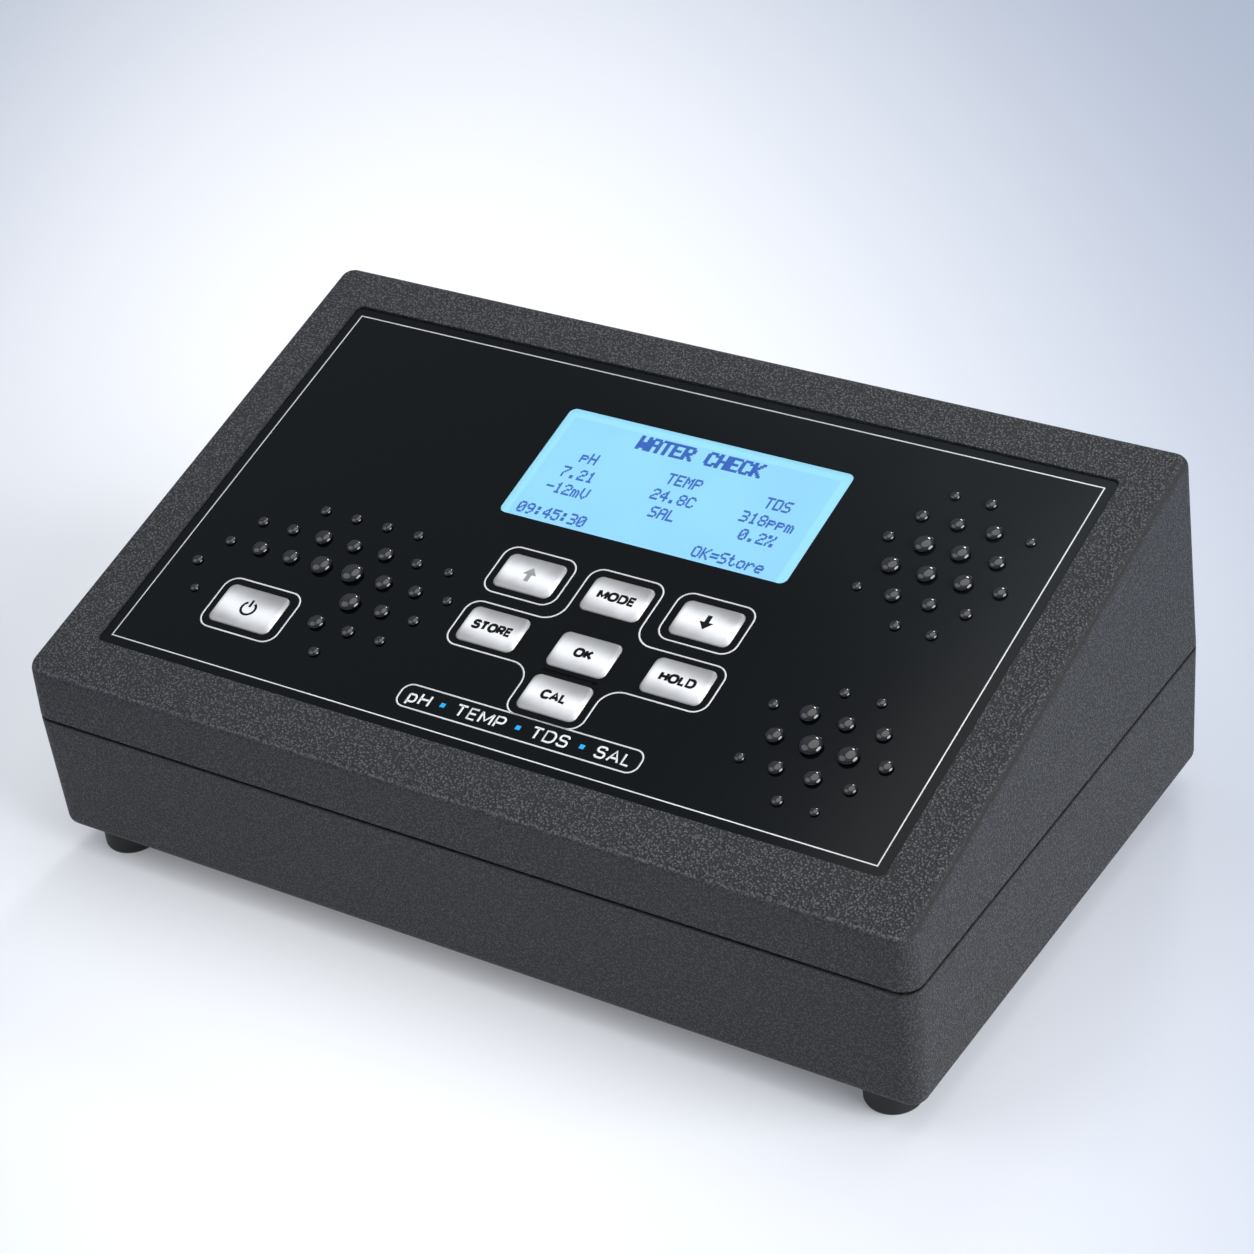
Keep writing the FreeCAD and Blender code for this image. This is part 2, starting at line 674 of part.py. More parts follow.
def make_keypad():
    """Overlay, spacer and circuit in the recess, with openings for the keys and the display."""
    overlay = plate("overlay_sheet", "face", rounded_rectangle, "overlay_width", "overlay_depth",
                    "overlay_thickness", "overlay_radius", z="overlay_bottom")
    spacer = plate("spacer_sheet", "face", chamfered_rectangle, "overlay_width", "overlay_depth",
                   "spacer_thickness", "overlay_radius", z="spacer_bottom")
    circuit = plate("circuit_sheet", "face", chamfered_rectangle, "overlay_width", "overlay_depth",
                    "circuit_thickness", "overlay_radius", z="recess_bottom")
    display = ("display_x", "display_y")
    window = plate("window_cut", "face", rounded_rectangle, "window_width", "window_depth",
                   "overlay_thickness + 2 * overrun", "window_radius", *display, "overlay_bottom - overrun")
    lens_cut = block("lens_cut", "face", "lens_width + 2 * recess_clearance",
                     "lens_depth + 2 * recess_clearance", "spacer_thickness + 2 * overrun", *display,
                     "spacer_bottom - overrun")
    module_cut = block("module_cut", "face", "module_width", "module_depth",
                       "circuit_thickness + 2 * overrun", *display, "recess_bottom - overrun")
    overlay_cuts = [window]
    spacer_cuts = [lens_cut]
    for name, (x, y, width, depth) in KEYS.items():
        overlay_cuts.append(plate(f"{name}_key_cut", "face", chamfered_rectangle,
                                  f"{width} + 2 * key_clearance", f"{depth} + 2 * key_clearance",
                                  "overlay_thickness + 2 * overrun", "key_corner", x, y,
                                  "overlay_bottom - overrun"))
        spacer_cuts.append(block(f"{name}_flange_cut", "face",
                                 f"{width} + 2 * (key_flange + recess_clearance)",
                                 f"{depth} + 2 * (key_flange + recess_clearance)",
                                 "spacer_thickness + 2 * overrun", x, y, "spacer_bottom - overrun"))
    keep("overlay", cut("overlay_cut", overlay, *overlay_cuts))
    keep("keypad_spacer", cut("spacer_cut", spacer, *spacer_cuts))

    top_y, top_z = on_face("tail_y", "recess_bottom + circuit_thickness / 2")
    tail = strip("circuit_tail", "case", "cable_width", flat_cable(
        [(top_y, top_z), ("keypad_cable_y", "cable_bend_z"), ("keypad_cable_y", "cable_end")]), "tail_x")
    keep("keypad_circuit", fuse("circuit_with_tail", cut("circuit_cut", circuit, module_cut), tail))


def flat_cable(route):
    """The profile of a thin cable that follows these points of Y and Z, all the way down."""
    half = "cable_thickness / 2"
    front = [(f"{y} - {half}", z) for y, z in route]
    back = [(f"{y} + {half}", z) for y, z in route]
    return front + back[::-1]


def make_keys():
    """Key pads, each with a flange under the overlay, and a snap dome under each."""
    for name, (x, y, width, depth) in KEYS.items():
        body = doc.addObject("PartDesign::Body", f"{name}_key_body")
        flange = sketch_on(body, "XY_Plane", f"{name}_flange_outline")
        half_width = f"{width} / 2 + key_flange"
        half_depth = f"{depth} / 2 + key_flange"
        outline(flange, [(f"-({half_width})", f"-({half_depth})"), (half_width, f"-({half_depth})"),
                         (half_width, half_depth), (f"-({half_width})", half_depth)])
        pad(body, flange, "key_flange_thickness", f"{name}_flange")
        cap = sketch_on(body, "XY_Plane", f"{name}_cap_outline")
        chamfered_rectangle(cap, width, depth, "key_corner")
        pad(body, cap, "key_top - key_bottom", f"{name}_cap")
        place(body, "face", x, y, "key_bottom")
        keep(f"key_{name}", softened(f"{name}_key_edged", "Part::Chamfer", body, "key_chamfer",
                                     *face_plane("key_top")))
        keep(f"dome_{name}", make_dome(name, x, y))


def make_dome(name, x, y):
    """Two thin bowed strips that cross at the crown, standing on the circuit on four feet."""
    profile = [("-dome_reach", "0"), ("-dome_crown", "dome_height"), ("dome_crown", "dome_height"),
               ("dome_reach", "0"), ("dome_reach - dome_foot", "0"),
               ("dome_crown", "dome_height - dome_sheet"), ("-dome_crown", "dome_height - dome_sheet"),
               ("dome_foot - dome_reach", "0")]
    across, along = [strip(f"{name}_dome_{plane[:2].lower()}", "face", "dome_leg", profile, x, y,
                           "spacer_bottom", plane) for plane in ("XZ_Plane", "YZ_Plane")]
    return fuse(f"{name}_dome_legs", across, along)


def make_display():
    """Window lens, and the liquid-crystal module behind it: bezel, glass, backlight and board."""
    spot = ("display_x", "display_y")
    flange = block("lens_flange", "face", "lens_width", "lens_depth", "spacer_thickness", *spot,
                   "spacer_bottom")
    pane = plate("lens_pane", "face", rounded_rectangle, "window_width - 2 * window_clearance",
                 "window_depth - 2 * window_clearance",
                 "spacer_thickness + overlay_thickness - window_setback", "window_radius - window_clearance",
                 *spot, "spacer_bottom")
    keep("display_window", fuse("lens", flange, pane))

    deep = "bezel_top - display_board_top"
    shell = block("bezel_blank", "face", "bezel_width", "bezel_depth", deep, *spot, "display_board_top")
    inside = block("bezel_inside", "face", "glass_width", "glass_depth", f"{deep} - bezel_sheet",
                   *spot, "display_board_top")
    view = block("bezel_view", "face", "window_width + 2 * bezel_sheet", "window_depth + 2 * bezel_sheet",
                 f"{deep} + overrun", *spot, "display_board_top")
    keep("display_bezel", cut("bezel", shell, inside, view))
    keep("display_glass", block("glass", "face", "glass_width", "glass_depth", "glass_thickness",
                                *spot, "glass_bottom"))
    keep("display_backlight", block("backlight", "face", "glass_width", "glass_depth", "backlight_thickness",
                                    *spot, "display_board_top"))
    keep("display_board", block("display_circuit_board", "face", "display_board_width", "display_board_depth",
                                "board_thickness", *spot, "display_board_bottom"))
    start_w = "connector_end + cable_insertion - cable_thickness"
    knee_w = "connector_end - cable_bend"
    keep("display_ribbon", strip("ribbon", "case", "cable_width", flat_cable(
        [on_face("display_cable_v", start_w), on_face("display_cable_v", knee_w),
         ("display_cable_y", "cable_bend_z"), ("display_cable_y", "cable_end")]), "display_x"))


def make_main_board():
    keep("main_board", block("main_circuit_board", "case", "board_width", "board_depth", "board_thickness",
                             z="board_bottom"))

    chip = block("chip_body", "case", "processor_side", "processor_side", "processor_height",
                 "processor_x", "processor_y", "board_top")
    pins = []
    span = "processor_side + 2 * processor_lead"
    for pin in range(round(number("processor_pins"))):
        shift = f"({pin} - (processor_pins - 1) / 2) * processor_pitch"
        pins.append(block(f"chip_pin_x_{pin}", "case", span, "processor_pin_width", "processor_pin_height",
                          "processor_x", f"processor_y + {shift}", "board_top"))
        pins.append(block(f"chip_pin_y_{pin}", "case", "processor_pin_width", span, "processor_pin_height",
                          f"processor_x + {shift}", "processor_y", "board_top"))
    keep("microcontroller", fuse("chip", chip, *pins))

    keep("buzzer", block("sounder", "case", "buzzer_side", "buzzer_side", "buzzer_height",
                         "buzzer_x", "buzzer_y", "board_top"))

    cell = ("cell_x", "cell_y")
    well_side = "2 * (cell_radius + recess_clearance)"
    holder = block("holder_blank", "case", "holder_side", "holder_side", "holder_height", *cell, "board_top")
    well = block("holder_well", "case", well_side, well_side, "holder_height", *cell,
                 "board_top + holder_floor")
    keep("coin_cell_holder", cut("holder", holder, well))
    keep("coin_cell", rod("cell", "case", "cell_radius", "cell_height", *cell, "board_top + holder_floor"))

    package = block("regulator_package", "case", "regulator_width", "regulator_depth", "regulator_height",
                    "regulator_x", "regulator_y", "board_top")
    tab = block("regulator_heat_tab", "case", "regulator_width", "regulator_depth", "regulator_tab",
                "regulator_x", "regulator_y + regulator_tab_length", "board_top")
    keep("regulator", fuse("regulator_parts", package, tab))

    pair = [block(f"capacitor_{step}", "case", "capacitor_width", "capacitor_depth", "capacitor_height",
                  "capacitor_x", f"capacitor_y - capacitor_pitch * {step}", "board_top") for step in range(2)]
    keep("capacitors", group("capacitor_set", *pair))


def connector(name, frame, x, y, base, opening):
    """A flat-cable connector standing on base, with its slot at the other end."""
    housing = block(f"{name}_housing", frame, "connector_width", "connector_depth", "connector_height",
                    x, y, base)
    slot = block(f"{name}_slot", frame, "cable_width", "cable_thickness", "cable_insertion + overrun",
                 x, y, opening)
    return cut(name, housing, slot)


def make_cable_connectors():
    """Three on the main board, one under the display's board and one on the socket board."""
    on_main_board = (("keypad", "tail_x", "keypad_cable_y"), ("display", "display_x", "display_cable_y"),
                     ("rear", "socket_cable_x", "socket_cable_y"))
    made = [connector(f"{tag}_connector", "case", x, y, "board_top", "cable_end")
            for tag, x, y in on_main_board]
    made.append(connector("under_display_connector", "face", "display_x", "display_cable_v",
                          "connector_end", "connector_end - overrun"))
    made.append(connector("socket_board_connector", "rear", "socket_cable_x", "socket_cable_drop",
                          "socket_connector_end", "socket_connector_end - overrun"))
    keep("flat_cable_connectors", group("flat_cable_connector_set", *made))


def make_socket_board():
    """The board that the rear sockets are soldered into, its cable and the pH input's shield."""
    keep("socket_board", block("socket_circuit_board", "rear", "socket_board_width", "socket_board_height",
                               "board_thickness", z="socket_board_front"))
    can = block("can_blank", "rear", "shield_side", "shield_side", "shield_height", "bnc_x", "0",
                "socket_board_front - shield_height")
    inside = block("can_inside", "rear", "shield_side - 2 * shield_sheet", "shield_side - 2 * shield_sheet",
                   "shield_height - shield_sheet + overrun", "bnc_x", "0",
                   "socket_board_front - shield_height + shield_sheet")
    keep("input_shield", cut("can", can, inside))
    half = "cable_thickness / 2"
    start_y = "land_y + socket_connector_end + cable_insertion"
    run_z = "socket_z - socket_cable_drop"
    keep("socket_ribbon", strip("socket_cable", "case", "cable_width", [
        (start_y, f"{run_z} + {half}"), (f"socket_cable_y - {half}", f"{run_z} + {half}"),
        (f"socket_cable_y - {half}", "cable_end"), (f"socket_cable_y + {half}", "cable_end"),
        (f"socket_cable_y + {half}", f"{run_z} - {half}"), (start_y, f"{run_z} - {half}")], "socket_cable_x"))


def nut(name, radius, hole, x, z):
    """A hexagonal nut on a socket's thread."""
    body = doc.addObject("PartDesign::Body", name)
    sketch = sketch_on(body, "XY_Plane", f"{name}_outline")
    turns = [60 * side + 30 for side in range(6)]
    outline(sketch, [(f"{radius} * cos({turn})", f"{radius} * sin({turn})") for turn in turns])
    circle_in(sketch, hole)
    pad(body, sketch, "nut_thickness", f"{name}_pad")
    return place(body, "rear", x, z=z)


def panel_socket(word):
    """A turned socket: a shank through the wall to its board, a flange outside and a barrel."""
    floor = f"{word}_reach - {word}_bore_depth"
    profile = [("0", "socket_back"), (f"{word}_shank", "socket_back"), (f"{word}_shank", "0"),
               (f"{word}_flange_radius", "0"), (f"{word}_flange_radius", f"{word}_flange"),
               (f"{word}_barrel", f"{word}_flange"), (f"{word}_barrel", f"{word}_reach"),
               (f"{word}_bore", f"{word}_reach"), (f"{word}_bore", floor), ("0", floor)]
    return turned(f"{word}_turned", "rear", profile, f"{word}_x"), floor


def make_bnc():
    """Bayonet socket for the pH electrode."""
    barrel, floor = panel_socket("bnc")
    body = doc.addObject("PartDesign::Body", "bnc_lugs")
    sketch = sketch_on(body, "YZ_Plane", "bnc_lug_outline")
    circle_in(sketch, "bnc_lug")
    pad(body, sketch, "bnc_lug_span", "bnc_lug_pad", midplane=True)
    place(body, "rear", "bnc_x", z="bnc_reach - bnc_lug_setback")
    clear = rod("bnc_lug_trim", "rear", "(bnc_bore + bnc_barrel) / 2", "bnc_reach", "bnc_x")
    keep("bnc_body", fuse("bnc_socket", barrel, cut("bnc_lug_pair", body, clear)))
    keep("bnc_insulator", rod("bnc_sleeve", "rear", "bnc_insulator_radius", "bnc_insulator_height",
                              "bnc_x", "0", floor))
    keep("bnc_contact", rod("bnc_centre", "rear", "bnc_contact_radius", "bnc_contact_height",
                            "bnc_x", "0", f"{floor} + bnc_insulator_height"))
    keep("bnc_nut", nut("bnc_hex", "bnc_nut_radius", "bnc_shank", "bnc_x", "-wall - nut_thickness"))


def make_probe_socket():
    """Round multi-pin socket for the conductivity probe."""
    barrel, floor = panel_socket("probe")
    keep("probe_socket_body", barrel)
    keep("probe_socket_insert", rod("probe_insert", "rear", "probe_bore - hole_clearance",
                                    "probe_insert_height", "probe_x", "0", floor))
    spots = [("probe_x", "0")]
    for turn in range(round(number("probe_pin_count"))):
        angle = f"{turn} * 360 / probe_pin_count"
        spots.append((f"probe_x + probe_pin_circle * cos({angle})", f"probe_pin_circle * sin({angle})"))
    pins = []
    for index, (x, y) in enumerate(spots):
        pin = doc.addObject("Part::Prism", f"probe_pin_{index}")
        bind(pin, Circumradius="probe_pin", Height="probe_pin_height")
        pins.append(place(pin, "rear", x, y, f"{floor} + probe_insert_height"))
    keep("probe_socket_pins", group("probe_pin_set", *pins))
    keep("probe_socket_nut", nut("probe_hex", "probe_nut_radius", "probe_shank", "probe_x",
                                 "-wall - nut_thickness"))


def make_temperature_jack():
    bushing = rod("jack_bushing", "rear", "jack_shank", "jack_reach + wall", "jack_x", "0", "-wall")
    body = block("jack_housing", "rear", "jack_body_width", "jack_body_height", "socket_depth",
                 "jack_x", "0", "socket_back")
    bore = rod("jack_hollow", "rear", "jack_bore", "jack_bore_depth + overrun", "jack_x", "0",
               "jack_reach - jack_bore_depth")
    keep("temperature_jack", cut("jack", fuse("jack_solid", bushing, body), bore))
    keep("temperature_jack_nut", nut("jack_hex", "jack_nut_radius", "jack_shank", "jack_x", "0"))


def make_power_inlet():
    """Barrel inlet for the mains adapter, with its centre pin."""
    floor = "inlet_flange - inlet_bore_depth"
    profile = [("0", "socket_back"), ("inlet_shank", "socket_back"), ("inlet_shank", "0"),
               ("inlet_flange_radius", "0"), ("inlet_flange_radius", "inlet_flange"),
               ("inlet_bore", "inlet_flange"), ("inlet_bore", floor), ("0", floor)]
    keep("power_inlet", turned("inlet_turned", "rear", profile, "inlet_x"))
    keep("power_inlet_pin", rod("inlet_centre", "rear", "inlet_pin", "inlet_pin_height", "inlet_x", "0",
                                floor))


make_upper_shell()
make_lower_shell()
make_case_screws()
make_feet()
make_keypad()
make_keys()
make_display()
make_main_board()
make_cable_connectors()
make_socket_board()
make_bnc()
make_probe_socket()
make_temperature_jack()
make_power_inlet()
doc.recompute()

for thing in doc.Objects:
    if "Invalid" in thing.State or "Error" in thing.State:
        raise ValueError(f"{thing.Name} failed: {thing.State}")
for node, thing in kept.items():
    if thing.Shape.isNull() or not thing.Shape.isValid() or not thing.Shape.Solids:
        raise ValueError(f"{node} has no valid solid")

os.makedirs("parts", exist_ok=True)
for node, thing in kept.items():
    thing.Shape.exportStep(f"parts/{node}.step")
print(f"{len(kept)} sub-parts written")
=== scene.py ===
import json
import math

import bmesh
import bpy
from bpy.props import FloatProperty, FloatVectorProperty, IntProperty, PointerProperty
from mathutils import Matrix, Vector


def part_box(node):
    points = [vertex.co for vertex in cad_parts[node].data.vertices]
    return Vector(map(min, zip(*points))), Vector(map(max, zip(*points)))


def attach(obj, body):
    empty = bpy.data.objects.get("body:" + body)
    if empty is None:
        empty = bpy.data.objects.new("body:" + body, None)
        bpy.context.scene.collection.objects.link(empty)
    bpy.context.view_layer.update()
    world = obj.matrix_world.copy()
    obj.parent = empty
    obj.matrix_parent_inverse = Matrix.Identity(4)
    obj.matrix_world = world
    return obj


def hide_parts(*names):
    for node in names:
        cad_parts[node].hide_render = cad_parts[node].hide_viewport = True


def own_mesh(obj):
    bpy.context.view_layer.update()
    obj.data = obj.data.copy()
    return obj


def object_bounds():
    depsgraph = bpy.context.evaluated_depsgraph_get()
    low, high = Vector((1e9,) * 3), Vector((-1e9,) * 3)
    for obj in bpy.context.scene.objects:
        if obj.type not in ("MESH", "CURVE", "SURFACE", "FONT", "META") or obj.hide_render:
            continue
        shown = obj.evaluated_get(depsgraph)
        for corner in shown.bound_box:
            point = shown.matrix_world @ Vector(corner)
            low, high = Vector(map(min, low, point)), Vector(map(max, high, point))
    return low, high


bl_info = {
    "name": "Bench Meter Finish",
    "version": (1, 0, 0),
    "blender": (4, 5, 0),
    "location": "View3D > Sidebar > Bench Meter",
    "description": "Finishes a benchtop water meter: case, keypad, display, sockets and studio",
    "category": "Object",
}

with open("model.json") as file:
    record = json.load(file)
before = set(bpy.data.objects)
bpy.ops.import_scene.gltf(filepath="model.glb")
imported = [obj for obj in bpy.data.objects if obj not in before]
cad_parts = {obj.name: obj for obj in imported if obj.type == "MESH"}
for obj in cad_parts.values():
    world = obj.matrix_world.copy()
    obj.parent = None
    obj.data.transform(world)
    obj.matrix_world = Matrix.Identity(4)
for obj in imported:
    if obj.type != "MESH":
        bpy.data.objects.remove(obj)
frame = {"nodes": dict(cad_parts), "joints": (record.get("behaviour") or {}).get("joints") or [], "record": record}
cad_low, cad_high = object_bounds()

MM = 0.001

# Welding, flattening and smoothing of the carried-over shapes
WELD = 0.001 * MM
FLAT_ANGLE = math.radians(0.4)
SHARP_ANGLE = math.radians(32)
FLAT_WEIGHT = 80

# How near points lie to count as level, and how wide a band finds a wall and the overlay's recess
FLUSH = 0.01 * MM
WALL_BAND = 0.5 * MM
DRAFT_BAND = 2 * MM
RECESS_MARGIN = 0.5 * MM

# How far a face has to turn outwards to be part of the rim, and a sole's rounding beside the case's
OUTWARD = 0.25
SOLE_ROUND = 2

# The printed panel is laid out from the frame line's upper left corner, X right and Y down
PANEL_WIDTH = 190.7 * MM
PANEL_DEPTH = 103.6 * MM

# Corner radii of the printed outlines
TURN = 3.2
INNER_TURN = 4.6
PILL_TURN = 2.4


def box(left, top, right, bottom, turn=0):
    """A rectangle's corners on the panel."""
    return [(left, top, turn), (right, top, turn), (right, bottom, turn), (left, bottom, turn)]


# Closed outlines on the panel, in millimetres: across, down and corner radius
OUTLINES = {
    "frame": box(0, 0, 190.7, 103.6),
    "up": box(74.3, 52.6, 92.6, 65.8, TURN),
    "down": box(118.3, 52.6, 136.9, 65.8, TURN),
    "power": box(16.9, 80.1, 37.4, 94.5, TURN),
    "cross": [
        (96.1, 52.6, TURN), (114.6, 52.6, TURN), (114.6, 68.8, INNER_TURN), (138.8, 68.8, TURN),
        (138.8, 81.4, TURN), (116.0, 81.4, INNER_TURN), (116.0, 93.8, TURN), (97.4, 93.8, TURN),
        (97.4, 81.4, INNER_TURN), (74.4, 81.4, TURN), (74.4, 68.8, TURN), (96.1, 68.8, INNER_TURN),
    ],
    "pill": box(73.4, 93.8, 133.0, 99.8, PILL_TURN),
}

# What the strip at the foot of the panel lists, and the middle of each word across the panel
PILL_WORDS = (("pH", 78.5, 5.6), ("TEMP", 93.8, 12.4), ("TDS", 111.1, 9.2), ("SAL", 126.6, 8.6))
PILL_MIDDLE = 96.8
PILL_CAP = 3.2
PILL_MARKS = (84.4, 103.3, 119.0)
PILL_MARK_SIZE = 1.1

# Legends of the keys, each with its width; the arrows and the power sign are drawn
KEY_WORDS = {"mode": ("MODE", 9.4), "store": ("STORE", 10.0), "ok": ("OK", 4.6), "hold": ("HOLD", 8.7),
             "calibrate": ("CAL", 6.4)}
KEY_CAP = 2.55
KEY_STROKE = 0.68
PILL_STROKE = 0.5

# Strokes of the printed letters: a letter is as high as 1, each point may have a corner radius, and a
# stroke that ends where it starts is closed
STROKES = {
    "A": [((0, 0), (0.42, 1), (0.84, 0)), ((0.15, 0.32), (0.69, 0.32))],
    "C": [((0.76, 0.78), (0.72, 1, 0.22), (0, 1, 0.42), (0, 0, 0.42), (0.72, 0, 0.22), (0.76, 0.22))],
    "D": [((0, 0), (0.8, 0, 0.42), (0.8, 1, 0.42), (0, 1), (0, 0))],
    "E": [((0.6, 1), (0, 1), (0, 0), (0.6, 0)), ((0, 0.52), (0.54, 0.52))],
    "H": [((0, 0), (0, 1)), ((0.72, 0), (0.72, 1)), ((0, 0.52), (0.72, 0.52))],
    "K": [((0, 0), (0, 1)), ((0.66, 1), (0.02, 0.38)), ((0.24, 0.58), (0.7, 0))],
    "L": [((0, 1), (0, 0), (0.56, 0))],
    "M": [((0, 0), (0, 1)), ((0, 1), (0.46, 0.22), (0.92, 1)), ((0.92, 1), (0.92, 0))],
    "O": [((0.45, 0), (0.9, 0, 0.42), (0.9, 1, 0.42), (0, 1, 0.42), (0, 0, 0.42), (0.45, 0))],
    "P": [((0, 0), (0, 1), (0.66, 1, 0.26), (0.66, 0.42, 0.26), (0, 0.42))],
    "R": [((0, 0), (0, 1), (0.66, 1, 0.26), (0.66, 0.44, 0.26), (0, 0.44)), ((0.36, 0.44), (0.7, 0))],
    "S": [((0.68, 0.8), (0.64, 1, 0.2), (0.02, 1, 0.24), (0.02, 0.54, 0.22), (0.7, 0.5, 0.22), (0.7, 0, 0.24),
           (0.02, 0, 0.2), (0, 0.2))],
    "T": [((0, 1), (0.74, 1)), ((0.37, 1), (0.37, 0))],
    "p": [((0, -0.3), (0, 0.7)), ((0, 0.7), (0.56, 0.7, 0.26), (0.56, 0, 0.26), (0, 0))],
}
LETTER_GAP = 0.34

KEY_NAMES = ("up", "mode", "down", "store", "ok", "hold", "calibrate", "power")

# A painted pool of light: the bright middle of the floor in the view's own directions, right and away, and how far
# it reaches
FLOOR_LIGHT_MIDDLE = (-55 * MM, 75 * MM)
FLOOR_LIGHT_SPREAD = (300 * MM, 900 * MM)
FLOOR_GLOW = 0.2

# Slow clouds of the floor, in metres, and how far they shift its edge
FLOOR_CLOUD = 1 / 1.4
FLOOR_WAVER = 0.1

# Half the printed film's width and depth, over which its colour changes
FILM_REACH = (PANEL_WIDTH / 2, PANEL_DEPTH / 2)

# Dot patterns of the display's characters, five across and seven down
GLYPHS = {
    "A": "01110 10001 10001 11111 10001 10001 10001", "C": "01110 10001 10000 10000 10000 10001 01110",
    "D": "11110 10001 10001 10001 10001 10001 11110", "E": "11111 10000 10000 11110 10000 10000 11111",
    "H": "10001 10001 10001 11111 10001 10001 10001", "K": "10001 10010 10100 11000 10100 10010 10001",
    "L": "10000 10000 10000 10000 10000 10000 11111", "M": "10001 11011 10101 10101 10001 10001 10001",
    "O": "01110 10001 10001 10001 10001 10001 01110", "P": "11110 10001 10001 11110 10000 10000 10000",
    "R": "11110 10001 10001 11110 10100 10010 10001", "S": "01111 10000 10000 01110 00001 00001 11110",
    "T": "11111 00100 00100 00100 00100 00100 00100", "V": "10001 10001 10001 10001 10001 01010 00100",
    "W": "10001 10001 10001 10101 10101 11011 10001", "e": "00000 00000 01110 10001 11111 10000 01110",
    "m": "00000 00000 11010 10101 10101 10101 10101", "o": "00000 00000 01110 10001 10001 10001 01110",
    "p": "00000 00000 11110 10001 11110 10000 10000", "r": "00000 00000 10110 11001 10000 10000 10000",
    "t": "01000 01000 11100 01000 01000 01001 00110", "0": "01110 10001 10011 10101 11001 10001 01110",
    "1": "00100 01100 00100 00100 00100 00100 01110", "2": "01110 10001 00001 00110 01000 10000 11111",
    "3": "11110 00001 00001 01110 00001 00001 11110", "4": "00010 00110 01010 10010 11111 00010 00010",
    "5": "11111 10000 11110 00001 00001 10001 01110", "7": "11111 00001 00010 00100 01000 01000 01000",
    "8": "01110 10001 10001 01110 10001 10001 01110", "9": "01110 10001 10001 01111 00001 00010 01100",
    ".": "00000 00000 00000 00000 00000 01100 01100", ":": "00000 01100 01100 00000 01100 01100 00000",
    "-": "00000 00000 00000 11111 00000 00000 00000", "=": "00000 00000 11111 00000 11111 00000 00000",
    "%": "11001 11001 00010 00100 01000 10011 10011",
}
GLYPH_COLUMNS = 5
GLYPH_ROWS = 7

# The display's lines of text, each with its middle on the panel, across and down
READOUT = (("pH", 77.5, 24.0), ("7.21", 77.5, 29.0), ("-12mV", 77.5, 33.8), ("TEMP", 102.0, 24.0),
           ("24.8C", 102.0, 29.0), ("SAL", 102.0, 33.8), ("TDS", 125.5, 24.0), ("318ppm", 125.5, 29.0),
           ("0.2%", 125.5, 33.8), ("09:45:30", 77.8, 41.2), ("OK=Store", 122.5, 41.2))
HEADING = ("WATER CHECK", 101.5, 16.2)

# Embossed fields: middle across and down, columns, rows, and the middle and half size left clear of studs
STUD_FIELDS = {
    "left": (38.0, 75.0, 8, 6, (-10.85, -12.3), (14.0, 10.9)),
    "upper": (168.0, 29.5, 5, 6, (0.0, 0.0), (0.0, 0.0)),
    "lower": (166.5, 81.5, 5, 5, (0.0, 0.0), (0.0, 0.0)),
}

# Plain finishes of the inner pieces by material slot: colour, roughness, metallic, patch size, relief
FINISHES = {
    "spacer_film": ((0.72, 0.72, 0.69), 0.45, 0.0, 3.0, 0.01),
    "cable_film": ((0.62, 0.36, 0.10), 0.35, 0.0, 2.0, 0.01),
    "spring_steel": ((0.62, 0.62, 0.61), 0.28, 1.0, 1.2, 0.004),
    "sheet_steel": ((0.60, 0.60, 0.61), 0.34, 1.0, 2.5, 0.008),
    "light_guide": ((0.86, 0.92, 0.96), 0.40, 0.0, 4.0, 0.01),
    "board_laminate": ((0.02, 0.17, 0.07), 0.42, 0.0, 1.6, 0.02),
    "display_glass": ((0.3, 0.3, 0.3), 0.40, 0.0, 2.0, 0.01),
    "black_moulding": ((0.030, 0.030, 0.033), 0.48, 0.0, 1.2, 0.02),
    "cell_steel": ((0.68, 0.68, 0.67), 0.26, 1.0, 2.0, 0.006),
    "capacitor_box": ((0.62, 0.42, 0.08), 0.45, 0.0, 1.5, 0.02),
    "bright_nickel": ((0.64, 0.62, 0.58), 0.22, 1.0, 1.6, 0.004),
    "white_insulator": ((0.80, 0.80, 0.77), 0.40, 0.0, 1.4, 0.01),
    "gold_contact": ((0.83, 0.60, 0.22), 0.24, 1.0, 1.0, 0.003),
}

# Shades of the case's plastic, as shares of its colour: painted shade in the dips of the grain and painted
# highlight on its bumps, brighter painted glints on the slope, and a painted highlight and a painted shade line
# along the slope's front and right edges
CASE_TONES = {"dip_shade": 0.42, "bump_highlight": 2.2, "painted_glint": 3.6, "front_highlight": 4.5, "crease": 0.15}
# Painted shade along the parting seam: its black, and how far past the edge rounding it fades
SEAM_SHADE_BLACK = (0.0008, 0.0008, 0.001, 1)
SEAM_SHADE_FADE = 1.4
WALL_RELIEF = 0.6
TONE_RANGE = (0.18, 0.52)
CASE_ROUGHNESS = (0.62, 0.38)

# How upright a face's normal is where the slope's grain takes over, how far it leans where the front and the
# right side begin, and how it leans along the rounded edge of the slope
SLOPE_BEGINS = (0.55, 0.93)
FRONT_BEGINS = (-0.4, -0.75)
SIDE_BEGINS = (0.3, 0.6)
CREASE_LEAN = 0.62
CREASE_REACH = 1 / 3.6
# Strength of the painted highlight along the slope's front edge
FRONT_HIGHLIGHT_STRENGTH = 2.6
# Strength of the painted shade along the slope's right edge
CREASE_SHADE_STRENGTH = 0.95

